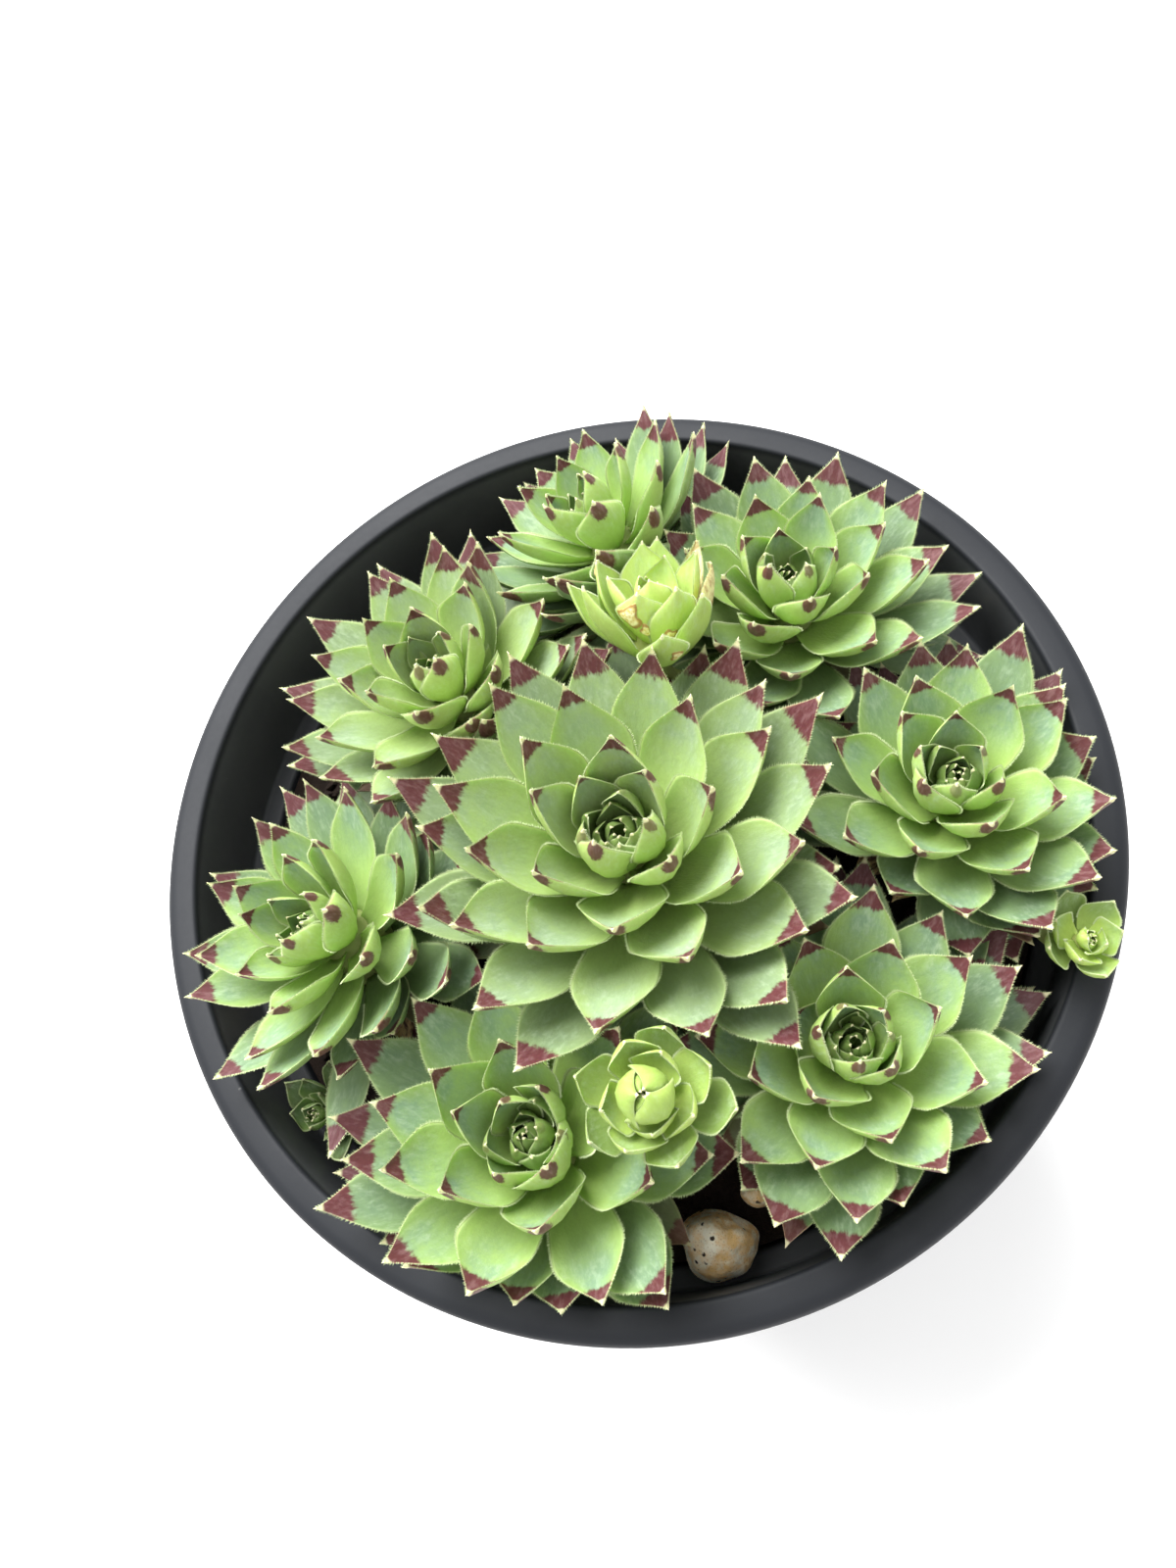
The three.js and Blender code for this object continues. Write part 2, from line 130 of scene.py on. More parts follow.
def to_world(one, q):
    """p = heart + R q"""
    return one.heart + np.asarray(q, float) @ one.turn.T


def to_rosette(one, p):
    """q = R^T (p - heart)"""
    return (np.asarray(p, float) - one.heart) @ one.turn


print(len(ROSETTES), "rosettes,", sum(one.leaves for one in ROSETTES), "leaves planned")

# %% [markdown]
# ## Where each leaf stands
# A houseleek's leaves come one at a time from the heart, each a golden angle, 137.5 degrees, further round
# than the one before. Young ones stand up and close over the heart, and old ones are pressed outward and
# down. In a crowded pot each leaf also has to find room between its neighbours' leaves. The same rule that
# placed the solid leaves places the fine ones here: a leaf that would cross something is raised, lowered or
# swung aside by the smallest of a fixed list of moves that clears it, or else it stays shorter.
#
# A leaf is a row of eleven numbers: its age from 0 to 1, how far it curls, the way it points, its length,
# width, pitch at the foot, cup and thickness, where its foot stands, and its number in the spiral.

# %% the plan of a leaf
AGE, CURL, TURN, LENGTH, WIDTH, PITCH, CUP, THICK, OUT, HIGH, NUMBER = range(11)
GOLDEN_ANGLE = 137.508
WIDEST, KEEL = 0.58, 1.3
COMMON_LENGTH = 28


def draw(a, b):
    """A repeatable draw from 0 to 1: the fraction of 43758.5453 sin(12.9898 a + 78.233 b)"""
    x = math.sin(a * 12.9898 + b * 78.233) * 43758.5453
    return x - math.floor(x)


def spread(a, b):
    return 2 * draw(a, b) - 1


def smoothstep(x):
    x = min(1, max(0, x))
    return x * x * (3 - 2 * x)


def leaf_rows(count, *columns):
    """`count` leaves, or one if count is (), from their eleven columns of numbers"""
    return np.stack([np.broadcast_to(column, count) for column in columns], -1).astype(float)


def leaf_plan(one, number):
    """The row of a leaf, from its age: its number in the spiral over how many there are"""
    draws = [spread(one.index + 1, number + k) for k in (0, 100, 200, 300)]
    age = ((number + 0.5) / one.leaves) ** 0.9
    curl = one.curl - 6 * age + 45 * (1 - smoothstep(age / 0.3))
    turn = one.spin + number * GOLDEN_ANGLE + 8 * draws[0]
    length = one.length * (0.1 + 0.9 * age ** 0.5) * (1 + 0.06 * draws[1])
    width = one.width * (0.3 + 0.7 * min(1, age / 0.36) ** 0.9) * (1 + 0.05 * draws[2])
    fan = 1 - smoothstep((age - 0.12) / 0.55)
    rise = (1 - fan) * one.open + fan * 79 - 40 * max(0, age - 0.85)
    grown = min(1, 2 * age)
    pitch, cup = rise - curl / 2 + 7 * draws[3], 0.7 - 0.56 * age
    thick = (1 - grown + grown * 2.4) * (one.length / COMMON_LENGTH) ** 0.5
    out, high = one.core_radius * (0.12 + 0.68 * age), -one.core_depth * age ** 1.2
    return leaf_rows((), age, curl, turn, length, width, pitch, cup, thick, out, high, number)


def half_width(leaf, u, foot=0.18):
    """Waisted foot, widest at WIDEST, then w (1/2 + cos(pi s) / 2)^0.7 to the point, with s from 0 to 1"""
    w = leaf[..., WIDTH] / 2
    low = w * (foot + (1 - foot) * np.sin(np.pi / 2 * np.minimum(u, WIDEST) / WIDEST))
    s = np.clip((u - WIDEST) / (1 - WIDEST), 0, 1)
    return np.where(u <= WIDEST, low, w * (0.5 + 0.5 * np.cos(np.pi * s)) ** 0.7)


def half_thickness(leaf, u):
    u = np.clip(u, 0, 1)
    return leaf[..., THICK] / 2 * np.minimum(1, 0.4 + 1.2 * u) * (1 - 0.75 * u ** 3)


def on_arc(leaf, u, side, up):
    """The middle line is an arc of radius R = length / curl from the foot, at the angle a = pitch + curl u.
    The point lies R (sin a - sin pitch) - up sin a out and R (cos pitch - cos a) + up cos a high, turned
    about Z."""
    bend, start = np.radians(leaf[..., CURL]), np.radians(leaf[..., PITCH])
    along = leaf[..., LENGTH] / bend
    angle = start + bend * u
    out = leaf[..., OUT] + along * (np.sin(angle) - np.sin(start)) - up * np.sin(angle)
    high = leaf[..., HIGH] + along * (np.cos(start) - np.cos(angle)) + up * np.cos(angle)
    c, s = np.cos(np.radians(leaf[..., TURN])), np.sin(np.radians(leaf[..., TURN]))
    return np.stack([out * c - side * s, out * s + side * c, high], -1)


def leaf_point(leaf, u, v, lift):
    """A point by u from foot to tip, v across and lift over the middle surface, in half thicknesses."""
    w = half_width(leaf, u)
    return on_arc(leaf, u, v * w, leaf[..., CUP] * w * v * v + lift * half_thickness(leaf, u))


def in_leaf(leaf, p, gap):
    """Whether points of the rosette's frame lie in the leaf grown by a gap."""
    turn, bend, start = (np.radians(leaf[..., k]) for k in (TURN, CURL, PITCH))
    along = leaf[..., LENGTH] / bend
    x, y, z = p[..., 0], p[..., 1], p[..., 2]
    out = x * np.cos(turn) + y * np.sin(turn) - leaf[..., OUT] + along * np.sin(start)
    high = z - leaf[..., HIGH] - along * np.cos(start)
    u = (np.arctan2(out, -high) - start) / bend
    side = np.abs(y * np.cos(turn) - x * np.sin(turn))
    w = half_width(leaf, np.minimum(1, u))
    v = np.minimum(1, side / (w + 0.01))
    up = along - np.hypot(out, high)
    low = leaf[..., CUP] * w * v * v - KEEL * half_thickness(leaf, u) * (1 - v)
    inside = (u >= 0) & (u <= 1 + gap / leaf[..., LENGTH]) & (side <= w + gap)
    return inside & (up > low - gap) & (up < leaf[..., CUP] * w + gap)


# %% [markdown]
# What isn't a leaf, the cores, stems, runners and stones, is kept clear of as a chain of balls.

# %% balls to keep clear of
RUNNER_RADIUS = 1.1


def runner_path(chick, count=13):
    """A cubic curve from the mother's core to just under the chick's."""
    mother = by_name[chick.mother]
    foot = -chick.core_depth - FIT
    a = to_world(mother, (0, 0, -0.8 * mother.core_depth))
    c = to_world(chick, (0, 0, foot - 9))
    d = to_world(chick, (0, 0, foot))
    b = a + 0.6 * (c - a)
    t = np.linspace(0, 1, count)[:, None]
    return (1 - t) ** 3 * a + 3 * (1 - t) ** 2 * t * b + 3 * (1 - t) * t ** 2 * c + t ** 3 * d


balls = []
for one in ROSETTES:
    r, depth = one.core_radius, one.core_depth
    down = depth if one.mother else one.heart[2] - SOIL_EDGE
    for low in np.arange(0.25 * r, down, 2):
        radius = r * min(1, 0.3 + low / depth) if low < depth else 0.65 * r
        balls.append((*to_world(one, (0, 0, -low)), radius, one.index))
    if one.mother:
        owner = by_name[one.mother].index
        balls.extend((*point, RUNNER_RADIUS, owner) for point in runner_path(one))
for stone in STONES:
    (x, y), size = stone.at, stone.size
    balls.append((x, y, soil_height(math.hypot(x, y)) + FIT + 0.55 * size[2], 0.55 * max(size), -1))
ball_owner, ball_radius, balls = np.array(balls)[:, 4], np.array(balls)[:, 3], np.array(balls)[:, :3]

# %% find room for every leaf
ROWS = [0.3, 0.42, 0.54, 0.66, 0.78, 0.89]
SPOTS = [(-1, 0), (-0.5, -0.65), (0, -KEEL), (0, 0.5), (0.5, -0.65), (1, 0)]
PROBE_U = np.array([u for u in ROWS for _ in SPOTS] + [1.0])
PROBE_V = np.array([v for _ in ROWS for v, _ in SPOTS] + [0.0])
PROBE_LIFT = np.array([lift for _ in ROWS for _, lift in SPOTS] + [0.0])
GAP, OWN_GAP = 0.8, 0
RAISES = [0, 5, -5, 10, -10, 15, 20, 26, 32, 40]
SWINGS = [0, 8, -8, 16, -16]
MOVES = sorted([(a, b) for a in RAISES for b in SWINGS], key=lambda move: abs(move[0]) + 0.7 * abs(move[1]))
SHORTENINGS = [1, 0.88, 0.76, 0.64]
STEEPEST, YOUNG = 80, 0.3
OVER_SOIL, OFF_WALL = 0.7, 0.8
placed = dict(leaf=np.zeros((0, NUMBER + 1)), world=np.zeros((0, len(PROBE_U), 3)), owner=np.zeros(0, int),
              middle=np.zeros((0, 3)), radius=np.zeros(0))
TURNS = np.array([one.turn for one in ROSETTES])
HEARTS = np.array([one.heart for one in ROSETTES])


def has_room(one, leaf, world, middle, radius):
    """Whether the leaf stays inside the pot, over the soil, and clear of the balls and the leaves so far. In
    the heart the leaves are packed tight, so a young one isn't tried against its own rosette."""
    r, z = np.hypot(world[:, 0], world[:, 1]), world[:, 2]
    reach = POT.rim_radius - 1.5 if one.mother else COLLAR_INNER + 1
    if (r > reach).any() or (z < soil_height(r) + OVER_SOIL).any():
        return False
    if ((z < POT.height + 0.5) & (r > pot_inner_radius(z) - OFF_WALL)).any():
        return False
    apart = np.linalg.norm(balls - middle, axis=1)
    near = (ball_owner != one.index) & (apart <= radius + ball_radius + 1)
    if in_leaf(leaf, to_rosette(one, balls[near]), ball_radius[near] + GAP).any():
        return False
    near = np.linalg.norm(placed["middle"] - middle, axis=1) <= radius + placed["radius"]
    if leaf[AGE] < YOUNG:
        near &= placed["owner"] != one.index
    if not near.any():
        return True
    owner = placed["owner"][near]
    own = owner == one.index
    gap = np.where(own, OWN_GAP, GAP)[:, None]
    tried = np.ones((len(owner), len(PROBE_U)), bool)
    tried[own, :len(SPOTS)] = False
    seen = np.einsum("mnk,mkl->mnl", world[None] - HEARTS[owner][:, None], TURNS[owner])
    if (in_leaf(placed["leaf"][near][:, None], seen, gap) & tried).any():
        return False
    seen = to_rosette(one, placed["world"][near])
    return not (in_leaf(leaf, seen, gap) & tried).any()


def settle(one, plan):
    """Places the leaf with the first shortening and the first move that have room for it, or leaves it out"""
    for share in SHORTENINGS:
        for raised, swing in MOVES:
            leaf = plan.copy()
            leaf[LENGTH] *= share
            leaf[PITCH] += raised
            leaf[TURN] += swing
            if leaf[PITCH] > STEEPEST:
                continue
            world = to_world(one, leaf_point(leaf, PROBE_U, PROBE_V, PROBE_LIFT))
            middle = to_world(one, leaf_point(leaf, 0.55, 0, 0))
            radius = 0.5 * leaf[LENGTH] + 2
            if has_room(one, leaf, world, middle, radius):
                found = dict(leaf=leaf, world=world, owner=one.index, middle=middle, radius=radius)
                for key, value in found.items():
                    placed[key] = np.concatenate([placed[key], np.asarray(value)[None]])
                return


ROUNDS = 50
chicks = [one for one in ROSETTES if one.chick]
offsets = [one for one in ROSETTES if one.name.startswith("offset")]
for group in (chicks, ROSETTES[:1], offsets):
    for turn in range(ROUNDS):
        for one in group:
            first = math.ceil(turn / ROUNDS * one.leaves)
            last = math.ceil((turn + 1) / ROUNDS * one.leaves)
            for number in range(first, last):
                settle(one, leaf_plan(one, number))
print(len(placed["leaf"]), "leaves placed")

# %% [markdown]
# ## A short way to write a finish
# Each finish is a Principled shader with a few nodes in front of its colour, roughness and normal. The
# helpers below add a node in one call and wire it. What they give back can be added, subtracted and
# multiplied like a number, so that a finish reads as a list of formulas and layers. Patterns that belong to
# a leaf read the leaf's own attributes, and the rest read Object coordinates.

# %% finishes: the helpers
def srgb(r, g, b):
    """A display colour 0-255 as the linear light a shader needs: ((c + 0.055) / 1.055)^2.4"""
    c = np.array([r, g, b]) / 255
    return (*np.where(c <= 0.04045, c / 12.92, ((c + 0.055) / 1.055) ** 2.4), 1.0)


def node(tree, kind, inputs, out=0, **settings):
    """Adds a node and gives back one of its outputs. An input is such a value, a number or a vector."""
    made = tree.nodes.new("ShaderNode" + kind)
    for key, value in settings.items():
        setattr(made, key, value)
    for key, value in inputs.items():
        if isinstance(value, Value):
            tree.links.new(value.socket, made.inputs[key])
        else:
            made.inputs[key].default_value = value
    return Value(tree, made.outputs[out])


class Value:
    """What comes out of a node. +, - and * between such values or numbers add a Math node."""

    def __init__(self, tree, socket):
        self.tree, self.socket = tree, socket

    def math(self, operation, a, b=0.0):
        return node(self.tree, "Math", {0: a, 1: b}, operation=operation)

    def __add__(self, other):
        return self.math("ADD", self, other)

    def __radd__(self, other):
        return self.math("ADD", other, self)

    def __sub__(self, other):
        return self.math("SUBTRACT", self, other)

    def __rsub__(self, other):
        return self.math("SUBTRACT", other, self)

    def __mul__(self, other):
        return self.math("MULTIPLY", self, other)

    def ease(self, start, end, low=0.0, high=1.0):
        """Goes smoothly from low to high as the value goes from start to end, and stays there."""
        return node(self.tree, "MapRange", {"Value": self, "From Min": start, "From Max": end, "To Min": low,
                    "To Max": high}, interpolation_type="SMOOTHSTEP")

    def swing(self, size):
        """A pattern from 0 to 1 as a swing of `size` in all about 0"""
        return (self - 0.5) * size

    def blend(self, a, b):
        """From a at 0 to b at 1, where three numbers are a display colour"""
        a, b = (srgb(*color) if isinstance(color, tuple) else color for color in (a, b))
        return node(self.tree, "Mix", {0: self, 6: a, 7: b}, out=2, data_type="RGBA")

    def noise(self, scale, detail=2.0, roughness=0.5):
        return node(self.tree, "TexNoise", {"Vector": self, "Scale": scale, "Detail": detail,
                    "Roughness": roughness})

    def cells(self, scale):
        """The distance to the nearest of many scattered points, as a share of their spacing, 1 / scale"""
        return node(self.tree, "TexVoronoi", {"Vector": self, "Scale": scale, "Randomness": 1.0},
                    out="Distance")

    def stretch(self, x, y, z):
        return node(self.tree, "VectorMath", {0: self, 1: (x, y, z)}, operation="MULTIPLY")

    def split(self):
        """The three numbers of a vector"""
        sockets = node(self.tree, "SeparateXYZ", {0: self}).socket.node.outputs
        return [Value(self.tree, socket) for socket in sockets]

    def relief(self, depth_mm, strength, under=None):
        inputs = {"Height": self, "Distance": depth_mm * MM, "Strength": strength}
        return node(self.tree, "Bump", inputs if under is None else {**inputs, "Normal": under})


class Finish:
    """A material, its Principled shader and the colour that is built up for it"""

    def __init__(self, name, **sockets):
        self.material = bpy.data.materials.new(name)
        self.material.use_nodes = True
        self.tree = self.material.node_tree
        self.shader = self.tree.nodes["Principled BSDF"]
        for key, value in sockets.items():
            self.shader.inputs[key.replace("_", " ")].default_value = value
        self.place = node(self.tree, "TexCoord", {}, out="Object")
        self.color = None

    def read(self, name):
        return node(self.tree, "Attribute", {}, out="Vector", attribute_name=name)

    def layer(self, share, color):
        """Lays a colour over those so far, as far as the share says."""
        self.color = share.blend(self.color, color)

    def finish(self, roughness=None, normal=None):
        for key, value in (("Base Color", self.color), ("Roughness", roughness), ("Normal", normal)):
            if value is not None:
                self.tree.links.new(value.socket, self.shader.inputs[key])
        return self.material


# %% [markdown]
# ## Leaf finish
# A houseleek leaf is blue-green in the middle of its face, under a thin bloom of wax, and fresh yellow-green
# towards its margins and its foot. The last fifth is stained burgundy up to a ragged border, and the spine
# on the tip is pale. On the back the stain is a round spot under the tip. The margin is a pale line. The hen
# and the offset at its back left carry more wax. The young chicks are yellower and hardly stained, and the
# low one by the rim is painted a dull dark green, painted shade for the shadow it lies in. Each leaf carries
# three attributes: its own plane in millimetres, its shape (foot to tip, middle to margin, face or back) and
# its life (age, a draw, dryness).

# %% leaf finishes
def leaf_finish(name, wax, fresh, heart, elder_and_shade, back, stained=1.0, husk=((92, 66, 46), (190, 164, 114))):
    """Display colours of the wax, the fresh green, the heart, old leaves and the back. The heart colour is
    partly the young leaves' deeper green and partly painted shade of the hollow heart, and the old leaves'
    colour is partly their duller green and partly painted shade where they lie low. `stained` is how far the
    tips are stained, and husk holds the two browns of a withered leaf."""
    one = Finish(name, Subsurface_Weight=0.15, Subsurface_Scale=1.3 * MM, Subsurface_Radius=(0.6, 1.0, 0.3),
                 Specular_IOR_Level=0.4)
    plane = one.read("leaf_plane")
    u, v, face = one.read("leaf_shape").split()
    age, chance, dry = one.read("leaf_life").split()
    cloud = plane.noise(0.28, 4.0, 0.6)
    fine = plane.noise(2.4, 4.0, 0.7)
    grain = plane.stretch(0.5, 1.3, 1.0).noise(1.0, 4.0, 0.65)
    bloom = grain.ease(0.42, 0.7)
    lucky = chance - 0.5

    # fresh green at the margins and the foot, blue-green wax on the outer half, a light frost on part of it
    drift = -0.05 + cloud * 1.7 + lucky * 0.4
    inwards = 1.0 - v.ease(0.3, 0.95) * 0.8
    one.color = fresh
    one.layer(u.ease(0.25, 0.78) * u.math("MINIMUM", drift, 1.0) * inwards * face, wax)
    one.layer((1.0 - face) * 0.65, back)
    # the oldest leaves darker and duller: partly their age, partly painted shade where they lie low
    one.layer(age.ease(0.5, 0.98, 0.0, 0.72), elder_and_shade)
    one.layer(bloom * u.ease(0.35, 0.8) * cloud.ease(0.36, 0.6) * 0.38, (176, 192, 164))
    # the youngest leaves darker green: partly their own colour, partly painted shade of the hollow heart
    one.layer(age.ease(0.16, 0.04), heart)
    shade = fine.swing(0.26) + grain.swing(0.24) + 1.0
    one.color = node(one.tree, "HueSaturation", {"Color": one.color, "Value": shade})

    # the stain: reach is how far up the leaf a point is, less the ragged border
    border = grain.swing(0.09) + lucky * 0.05 + v * v * 0.015
    reach = u + age.ease(0.5, 1.0, 0.0, 0.03) - border
    on_face = reach.ease(0.818, 0.85)
    on_back = (reach + fine.swing(0.08) - v * v * 0.13).ease(0.775, 0.81, 0.0, 0.95)
    tip = node(one.tree, "Mix", {0: face, 2: on_back, 3: on_face}, data_type="FLOAT")
    tip = tip * age.ease(0.04, 0.2) * stained
    red = fine.blend((102, 52, 54), (74, 35, 41))
    one.layer(tip, (bloom * 0.4).blend(red, (142, 110, 111)))
    line = v.ease(0.86, 0.97) * u.ease(0.15, 0.4) * 0.38
    one.layer(line, tip.blend((186, 202, 144), (204, 168, 140)))
    one.layer(u.ease(0.94, 0.962, 0.0, 0.95), (226, 220, 176))

    # ageing leaves turn dull red, and withered ones are tan paper with brown streaks
    one.layer(dry.ease(0.0, 0.5, 0.0, 0.8), cloud.blend((104, 74, 58), (112, 104, 70)))
    one.layer(dry.ease(0.6, 1.0), grain.ease(0.35, 0.62).blend(*husk))
    rough = 0.4 + cloud * 0.16 + fine * 0.1 + dry * 0.3
    return one.finish(rough, grain.relief(0.2, 0.5, fine.relief(0.08, 0.5)))


FLESH = dict(
    green=((126, 154, 124), (156, 184, 98), (100, 126, 62), (106, 130, 96), (162, 187, 102)),
    waxy=((146, 168, 132), (163, 187, 108), (108, 133, 68), (122, 142, 104), (168, 190, 106)),
    young=((150, 176, 104), (168, 192, 94), (134, 164, 72), (114, 140, 76), (168, 190, 94), 0.12),
    pale=((172, 198, 118), (188, 208, 112), (176, 198, 104), (166, 192, 100), (184, 206, 110), 0.06,
          ((166, 140, 92), (226, 218, 160))),
    # the low chick's dull dark green is painted shade for the shadow it lies in
    shaded=((100, 126, 84), (116, 142, 78), (108, 132, 68), (94, 114, 68), (108, 134, 74), 0.3))
FLESH = {kind: leaf_finish(kind + "_leaf_flesh", *looks) for kind, looks in FLESH.items()}
LEAF_KINDS = dict(hen="waxy", offset_back_left="waxy", chick_back="pale", chick_front="young",
                  chick_rim="young", chick_low="shaded")
HAIR = Finish("leaf_hair", Roughness=0.5, Base_Color=srgb(190, 204, 154)).finish()
print("leaf finishes:", *FLESH)

# %% [markdown]
# ## A piece from arrays
# Every new piece is a grid of points worked out with numpy. The helper puts the arrays into a mesh, in
# metres, and hides the solid it stands for. It also prints the signed volume inside the faces, which is
# positive when they look outwards.

# %% pieces from arrays
def unit(vectors):
    return vectors / np.linalg.norm(vectors, axis=-1, keepdims=True)


def circle(count):
    """The cosines and sines of `count` equal steps round"""
    t = 2 * np.pi * np.arange(count) / count
    return np.cos(t), np.sin(t)


def cut_up(quads, triangles):
    """All the faces as triangles"""
    return np.concatenate([quads[:, [0, 1, 2]], quads[:, [0, 2, 3]], triangles])


def volume(points, triangles):
    """Sum of a . (b x c) / 6 over the triangles, in cubic millimetres"""
    a, b, c = (points[triangles[:, k]] for k in range(3))
    return float(np.einsum("ij,ij->i", a, np.cross(b, c)).sum() / 6)


def add_object(name, data):
    made = bpy.data.objects.new(name, data)
    bpy.context.scene.collection.objects.link(made)
    return made


def add_plain(name, points, faces):
    """A mesh from points in metres and faces of any kind"""
    mesh = bpy.data.meshes.new(name)
    mesh.from_pydata(points, [], faces)
    return add_object(name, mesh)


def make_piece(name, points, quads, triangles, nodes, slot_name, material, attributes=None, smooth=True):
    """points in mm, quads (n, 4) and triangles (m, 3), attributes {name: (points, 3)}"""
    quads = np.asarray(quads, np.int32).reshape(-1, 4)
    triangles = np.asarray(triangles, np.int32).reshape(-1, 3)
    mesh = bpy.data.meshes.new(name)
    mesh.vertices.add(len(points))
    mesh.vertices.foreach_set("co", (points * MM).astype(np.float32).ravel())
    corners = np.concatenate([quads.ravel(), triangles.ravel()])
    mesh.loops.add(len(corners))
    mesh.loops.foreach_set("vertex_index", corners)
    starts = np.concatenate([4 * np.arange(len(quads)), 4 * len(quads) + 3 * np.arange(len(triangles))])
    mesh.polygons.add(len(starts))
    mesh.polygons.foreach_set("loop_start", starts.astype(np.int32))
    mesh.polygons.foreach_set("use_smooth", np.full(len(starts), smooth))
    mesh.update(calc_edges=True)
    for key, values in (attributes or {}).items():
        layer = mesh.attributes.new(key, "FLOAT_VECTOR", "POINT")
        layer.data.foreach_set("vector", np.asarray(values, np.float32).ravel())
    mesh.materials.append(material)
    piece = add_object(name, mesh)
    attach(piece, "root")
    if nodes:
        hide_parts(*nodes)
    small = cut_up(quads, triangles)
    print(f"{name}: {len(small)} triangles, {volume(points, small):.0f} cubic mm, ok: {not mesh.validate()}")
    return piece


def ring_faces(rows, columns, flip=False):
    """Quads between closed rings of `columns` points, and triangles from the first and the last ring to the
    two end points, which follow the rings"""
    k, count = np.arange(columns), rows * columns
    a = np.arange(rows)[:, None] * columns + k
    b = np.arange(rows)[:, None] * columns + (k + 1) % columns
    quads = np.stack([a[:-1], b[:-1], b[1:], a[1:]], -1).reshape(-1, 4)
    start = np.stack([np.full(columns, count), b[0], a[0]], -1)
    end = np.stack([np.full(columns, count + 1), a[-1], b[-1]], -1)
    triangles = np.concatenate([start, end])
    return (quads[:, ::-1], triangles[:, ::-1]) if flip else (quads, triangles)


# %% [markdown]
# ## Leaves
# A leaf is a fleshy blade: a foot, a body that is widest past its middle, and shoulders that run quickly
# into a sharp point with a pale spine. It could be sculpted, but several hundred leaves of many sizes are
# better drawn by one function: u goes from foot to tip along an arc, and a ring of points round the section
# goes over the hollowed face and back under the keeled back.

# %% leaf surfaces
ROW = np.array([0, 0.1, 0.2, 0.3, 0.4, 0.5, 0.58, 0.65, 0.71, 0.765, 0.81, 0.85, 0.885, 0.915, 0.94, 0.96,
                0.98])
RING_V = -np.cos(np.pi * np.arange(16) / 8)
RING_FACE = np.arange(16) < 9
SPINE = 0.4
PATTERN_STEP = 31.7


def fine_half_width(leaf, u):
    """The solid leaf's half width with a broader foot, drawn out near the tip into a spine"""
    body = half_width(leaf, u, foot=0.42)
    return np.maximum(body, SPINE * np.clip((1 - u) / 0.07, 0, 1) ** 0.8)


def leaf_surface(leaf, u, v, face, quirk):
    """The leaf's arc, with a section that is hollowed on its face and keeled on its back, plus a leaf's own
    quirks: a sideways bend, a roll about its length, one fuller side and a waved margin."""
    w = fine_half_width(leaf, u)
    thick = np.minimum(half_thickness(leaf, u), 0.9 * w + 0.05)
    dome = 0.35 * thick * (1 - v * v)
    keel = -KEEL * thick * (1 - v * v) ** 0.75
    up = leaf[..., CUP] * w * v * v + np.where(face, dome, keel)
    up = up + (0.16 + quirk[..., 3]) * v * v * np.sin(9 * u + 40 * quirk[..., 2] + 2 * v)
    up = up + v * w * np.sin(quirk[..., 1] * 0.12) * u
    side = v * w * (1 + 0.09 * np.sin(50 * quirk[..., 2]) * v) + quirk[..., 0] * 0.6 * u * u
    return on_arc(leaf, u, side, up)


def leaf_quirks(leaves, seed):
    """Three draws a leaf: sideways bend and roll from -1 to 1, and a phase from 0 to 1. Then how far its
    margins are waved beyond a fresh leaf's, in mm, and how withered it is, from 0 to 1."""
    rng, count = np.random.default_rng(seed), len(leaves)
    return np.column_stack([rng.uniform(-1, 1, (count, 2)), rng.uniform(0, 1, count), np.zeros((count, 2))])


def leaf_meshes(leaves, quirks):
    """All leaves of a rosette as rings of points, each closed by a foot point and a tip point, and what their
    finish reads. The pattern in a leaf's plane starts PATTERN_STEP further on than in the one before."""
    count, rows, ring = len(leaves), len(ROW), len(RING_V)
    u = np.append(ROW.repeat(ring), [0, 1])
    v = np.append(np.tile(RING_V, rows), [0, 0])
    face = np.append(np.tile(RING_FACE, rows), [0, 0])
    leaf, quirk = leaves[:, None], quirks[:, None]
    points = leaf_surface(leaf, u, v, face, quirk)
    number = np.broadcast_to(leaf[..., NUMBER] * PATTERN_STEP, points.shape[:2])
    looks = dict(leaf_plane=np.stack([leaf[..., LENGTH] * u, v * fine_half_width(leaf, u), number], -1),
                 leaf_shape=np.stack([u, np.abs(v), face], -1),
                 leaf_life=np.stack([leaf[..., AGE], quirk[..., 2], quirk[..., 4]], -1))
    looks = {key: np.broadcast_to(values, points.shape).reshape(-1, 3) for key, values in looks.items()}
    quads, triangles = ring_faces(rows, ring, flip=True)
    first = len(u) * np.arange(count)[:, None, None]
    return points.reshape(-1, 3), (quads + first).reshape(-1, 4), (triangles + first).reshape(-1, 3), looks


# %% cores, stems and runners
def tube(path, radius, sides=16):
    """Rings round a path, in planes across it, with a point at each end"""
    path, radius = np.asarray(path, float), np.broadcast_to(radius, len(path))
    ahead = unit(np.gradient(path, axis=0))
    right = unit(np.cross(ahead, np.where(np.abs(ahead[:, 2:]) > 0.9, [[1.0, 0, 0]], [[0, 0, 1.0]])))
    up = np.cross(right, ahead)
    c, s = circle(sides)
    ring = path[:, None] + radius[:, None, None] * (c[:, None] * right[:, None] + s[:, None] * up[:, None])
    points = np.concatenate([ring.reshape(-1, 3), path[:1], path[-1:]])
    return points, *ring_faces(len(path), sides, flip=True)


def join(parts):
    """Several (points, quads, triangles) as one, with their numbers moved on"""
    points, quads, triangles, first = [], [], [], 0
    for p, q, t in parts:
        points.append(p)
        quads.append(np.asarray(q, int).reshape(-1, 4) + first)
        triangles.append(np.asarray(t).reshape(-1, 3) + first)
        first += len(p)
    return np.concatenate(points), np.concatenate(quads), np.concatenate(triangles)


